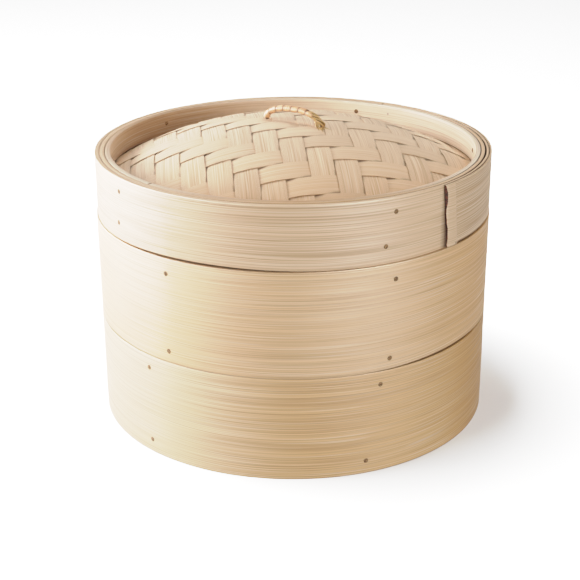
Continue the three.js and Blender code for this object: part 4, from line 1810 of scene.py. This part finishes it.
class Studio:
    """A white floor, a broad key light from the left and soft fill."""

    floor_size = 6000.0
    sky = 0.2
    ground = 0.5
    horizon = 0.05
    lights = (
        SoftLight("key_light", right=-97, up=18, size=700, watts=20.6, tint=WARM_WHITE),
        SoftLight("front_light", right=-50, up=8, size=700, watts=7.3),
        SoftLight("right_light", right=40, up=12, size=700, watts=7.5),
        SoftLight("top_light", right=110, up=55, size=700, watts=6.5),
        SoftLight("back_light", right=-150, up=45, size=700, watts=6),
        SoftLight("far_left_card", right=-120, up=6, size=900, watts=36, card=True),
        SoftLight("left_card", right=-90, up=6, size=900, watts=82, card=True, tint=WARM_WHITE),
        SoftLight("front_left_card", right=-52, up=6, size=900, watts=27, card=True, tint=WARM_WHITE),
        SoftLight("right_card", right=40, up=14, size=900, watts=38, card=True),
    )
    floor_light = SoftLight("floor_light", right=-97, up=74, size=720, watts=135, distance=1700)
    # How bright a place in the scene is, and how bright the picture shows it: a camera's soft shoulder
    tones = ((0.0, 0.0), (0.55, 0.55), (0.8, 0.73), (1.1, 0.82), (1.5, 0.885), (2.1, 0.94), (3.0, 1.0))

    @classmethod
    def build(cls) -> None:
        """Builds the floor, the lights and the sky."""
        cls.tone_curve()
        for light in cls.lights:
            light.build()
        cls.light_floor_only(cls.floor())
        cls.surroundings()

    @classmethod
    def tone_curve(cls) -> None:
        """Gives the picture the soft highlights of a camera."""
        settings = bpy.context.scene.view_settings
        settings.view_transform = "Standard"
        settings.use_curve_mapping = True
        mapping = settings.curve_mapping
        brightest = cls.tones[-1][0]
        mapping.white_level = (brightest, brightest, brightest)
        points = mapping.curves[3].points
        for scene, shown in cls.tones[1:-1]:
            points.new(scene / brightest, shown)
        mapping.update()

    @classmethod
    def light_floor_only(cls, floor: Piece) -> None:
        """Adds the light that whitens the floor, where the object casts its shadow.

        Args:
            floor: The floor.
        """
        lit = bpy.data.collections.new("lit_floor")
        lit.objects.link(floor)
        cls.floor_light.build().light_linking.receiver_collection = lit

    @classmethod
    def surroundings(cls) -> None:
        """Makes a white room that is brighter below the horizon."""
        world = bpy.data.worlds.new("white_room")
        bpy.context.scene.world = world
        world.use_nodes = True
        tree = world.node_tree
        tree.nodes.clear()
        way = add_node(tree, "ShaderNodeTexCoord").outputs["Generated"]
        height = add_node(tree, "ShaderNodeSeparateXYZ", (way,)).outputs["Z"]
        strength = add_node(tree, "ShaderNodeMapRange", {
            "Value": height, "From Min": -cls.horizon, "From Max": cls.horizon,
            "To Min": cls.ground, "To Max": cls.sky,
        })
        light = {"Color": (*WHITE, 1), "Strength": strength.outputs[0]}
        white = add_node(tree, "ShaderNodeBackground", light)
        add_node(tree, "ShaderNodeOutputWorld", {"Surface": white.outputs[0]})

    @classmethod
    def floor(cls) -> Piece:
        """Makes the white floor, which throws no light back on the object.

        Returns:
            The floor.
        """
        half = cls.floor_size / 2 * MM
        mesh = bpy.data.meshes.new("floor")
        corners = [(-half, -half, 0), (half, -half, 0), (half, half, 0), (-half, half, 0)]
        mesh.from_pydata(corners, [], [(0, 1, 2, 3)])
        mesh.materials.append(FLOOR_PAPER.material())
        floor = bpy.data.objects.new("floor", mesh)
        bpy.context.scene.collection.objects.link(floor)
        floor.visible_diffuse = False
        floor.visible_glossy = False
        return floor


def main() -> None:
    """Builds the steamer from the table up, then the studio round it."""
    logging.basicConfig(level=logging.INFO, format="%(name)s: %(message)s")
    View.make_camera()
    Tier(
        "lower", Body.LOWER, LOWER_WALL, seed=21, peg_heights=(46.5, 6.8),
        top_pegs=(-44, 23.9, 88, 152, 212, 268), foot_pegs=(-44, 20, 88.5, 151, 213, 267),
        # golden stretches; the darker stretch on the right is painted shade, and its golden partly so
        golden_and_shaded=(Stretch(View.angle(8), 44, 0.55), Stretch(View.angle(75), 70, 1.0)),
        painted_shade_and_stains=(Stretch(View.angle(72), 42, 0.22),),
    ).build()
    Tier(
        "upper", Body.UPPER, UPPER_WALL, seed=31, peg_heights=(99.0, 59.2), reach_down=0.2,
        top_pegs=(-36, 27.8, 90, 150, 210, 268), foot_pegs=(-36, 26.5, 90, 151.5, 209, 268),
        gaps=(Stretch(View.angle(55), 40, 1.4), Stretch(View.angle(-72), 48, 0.5)),
        golden_and_shaded=(Stretch(View.angle(68), 48, 0.75),),
    ).build()
    Lid().build()
    Studio.build()


if __name__ == "__main__":
    main()
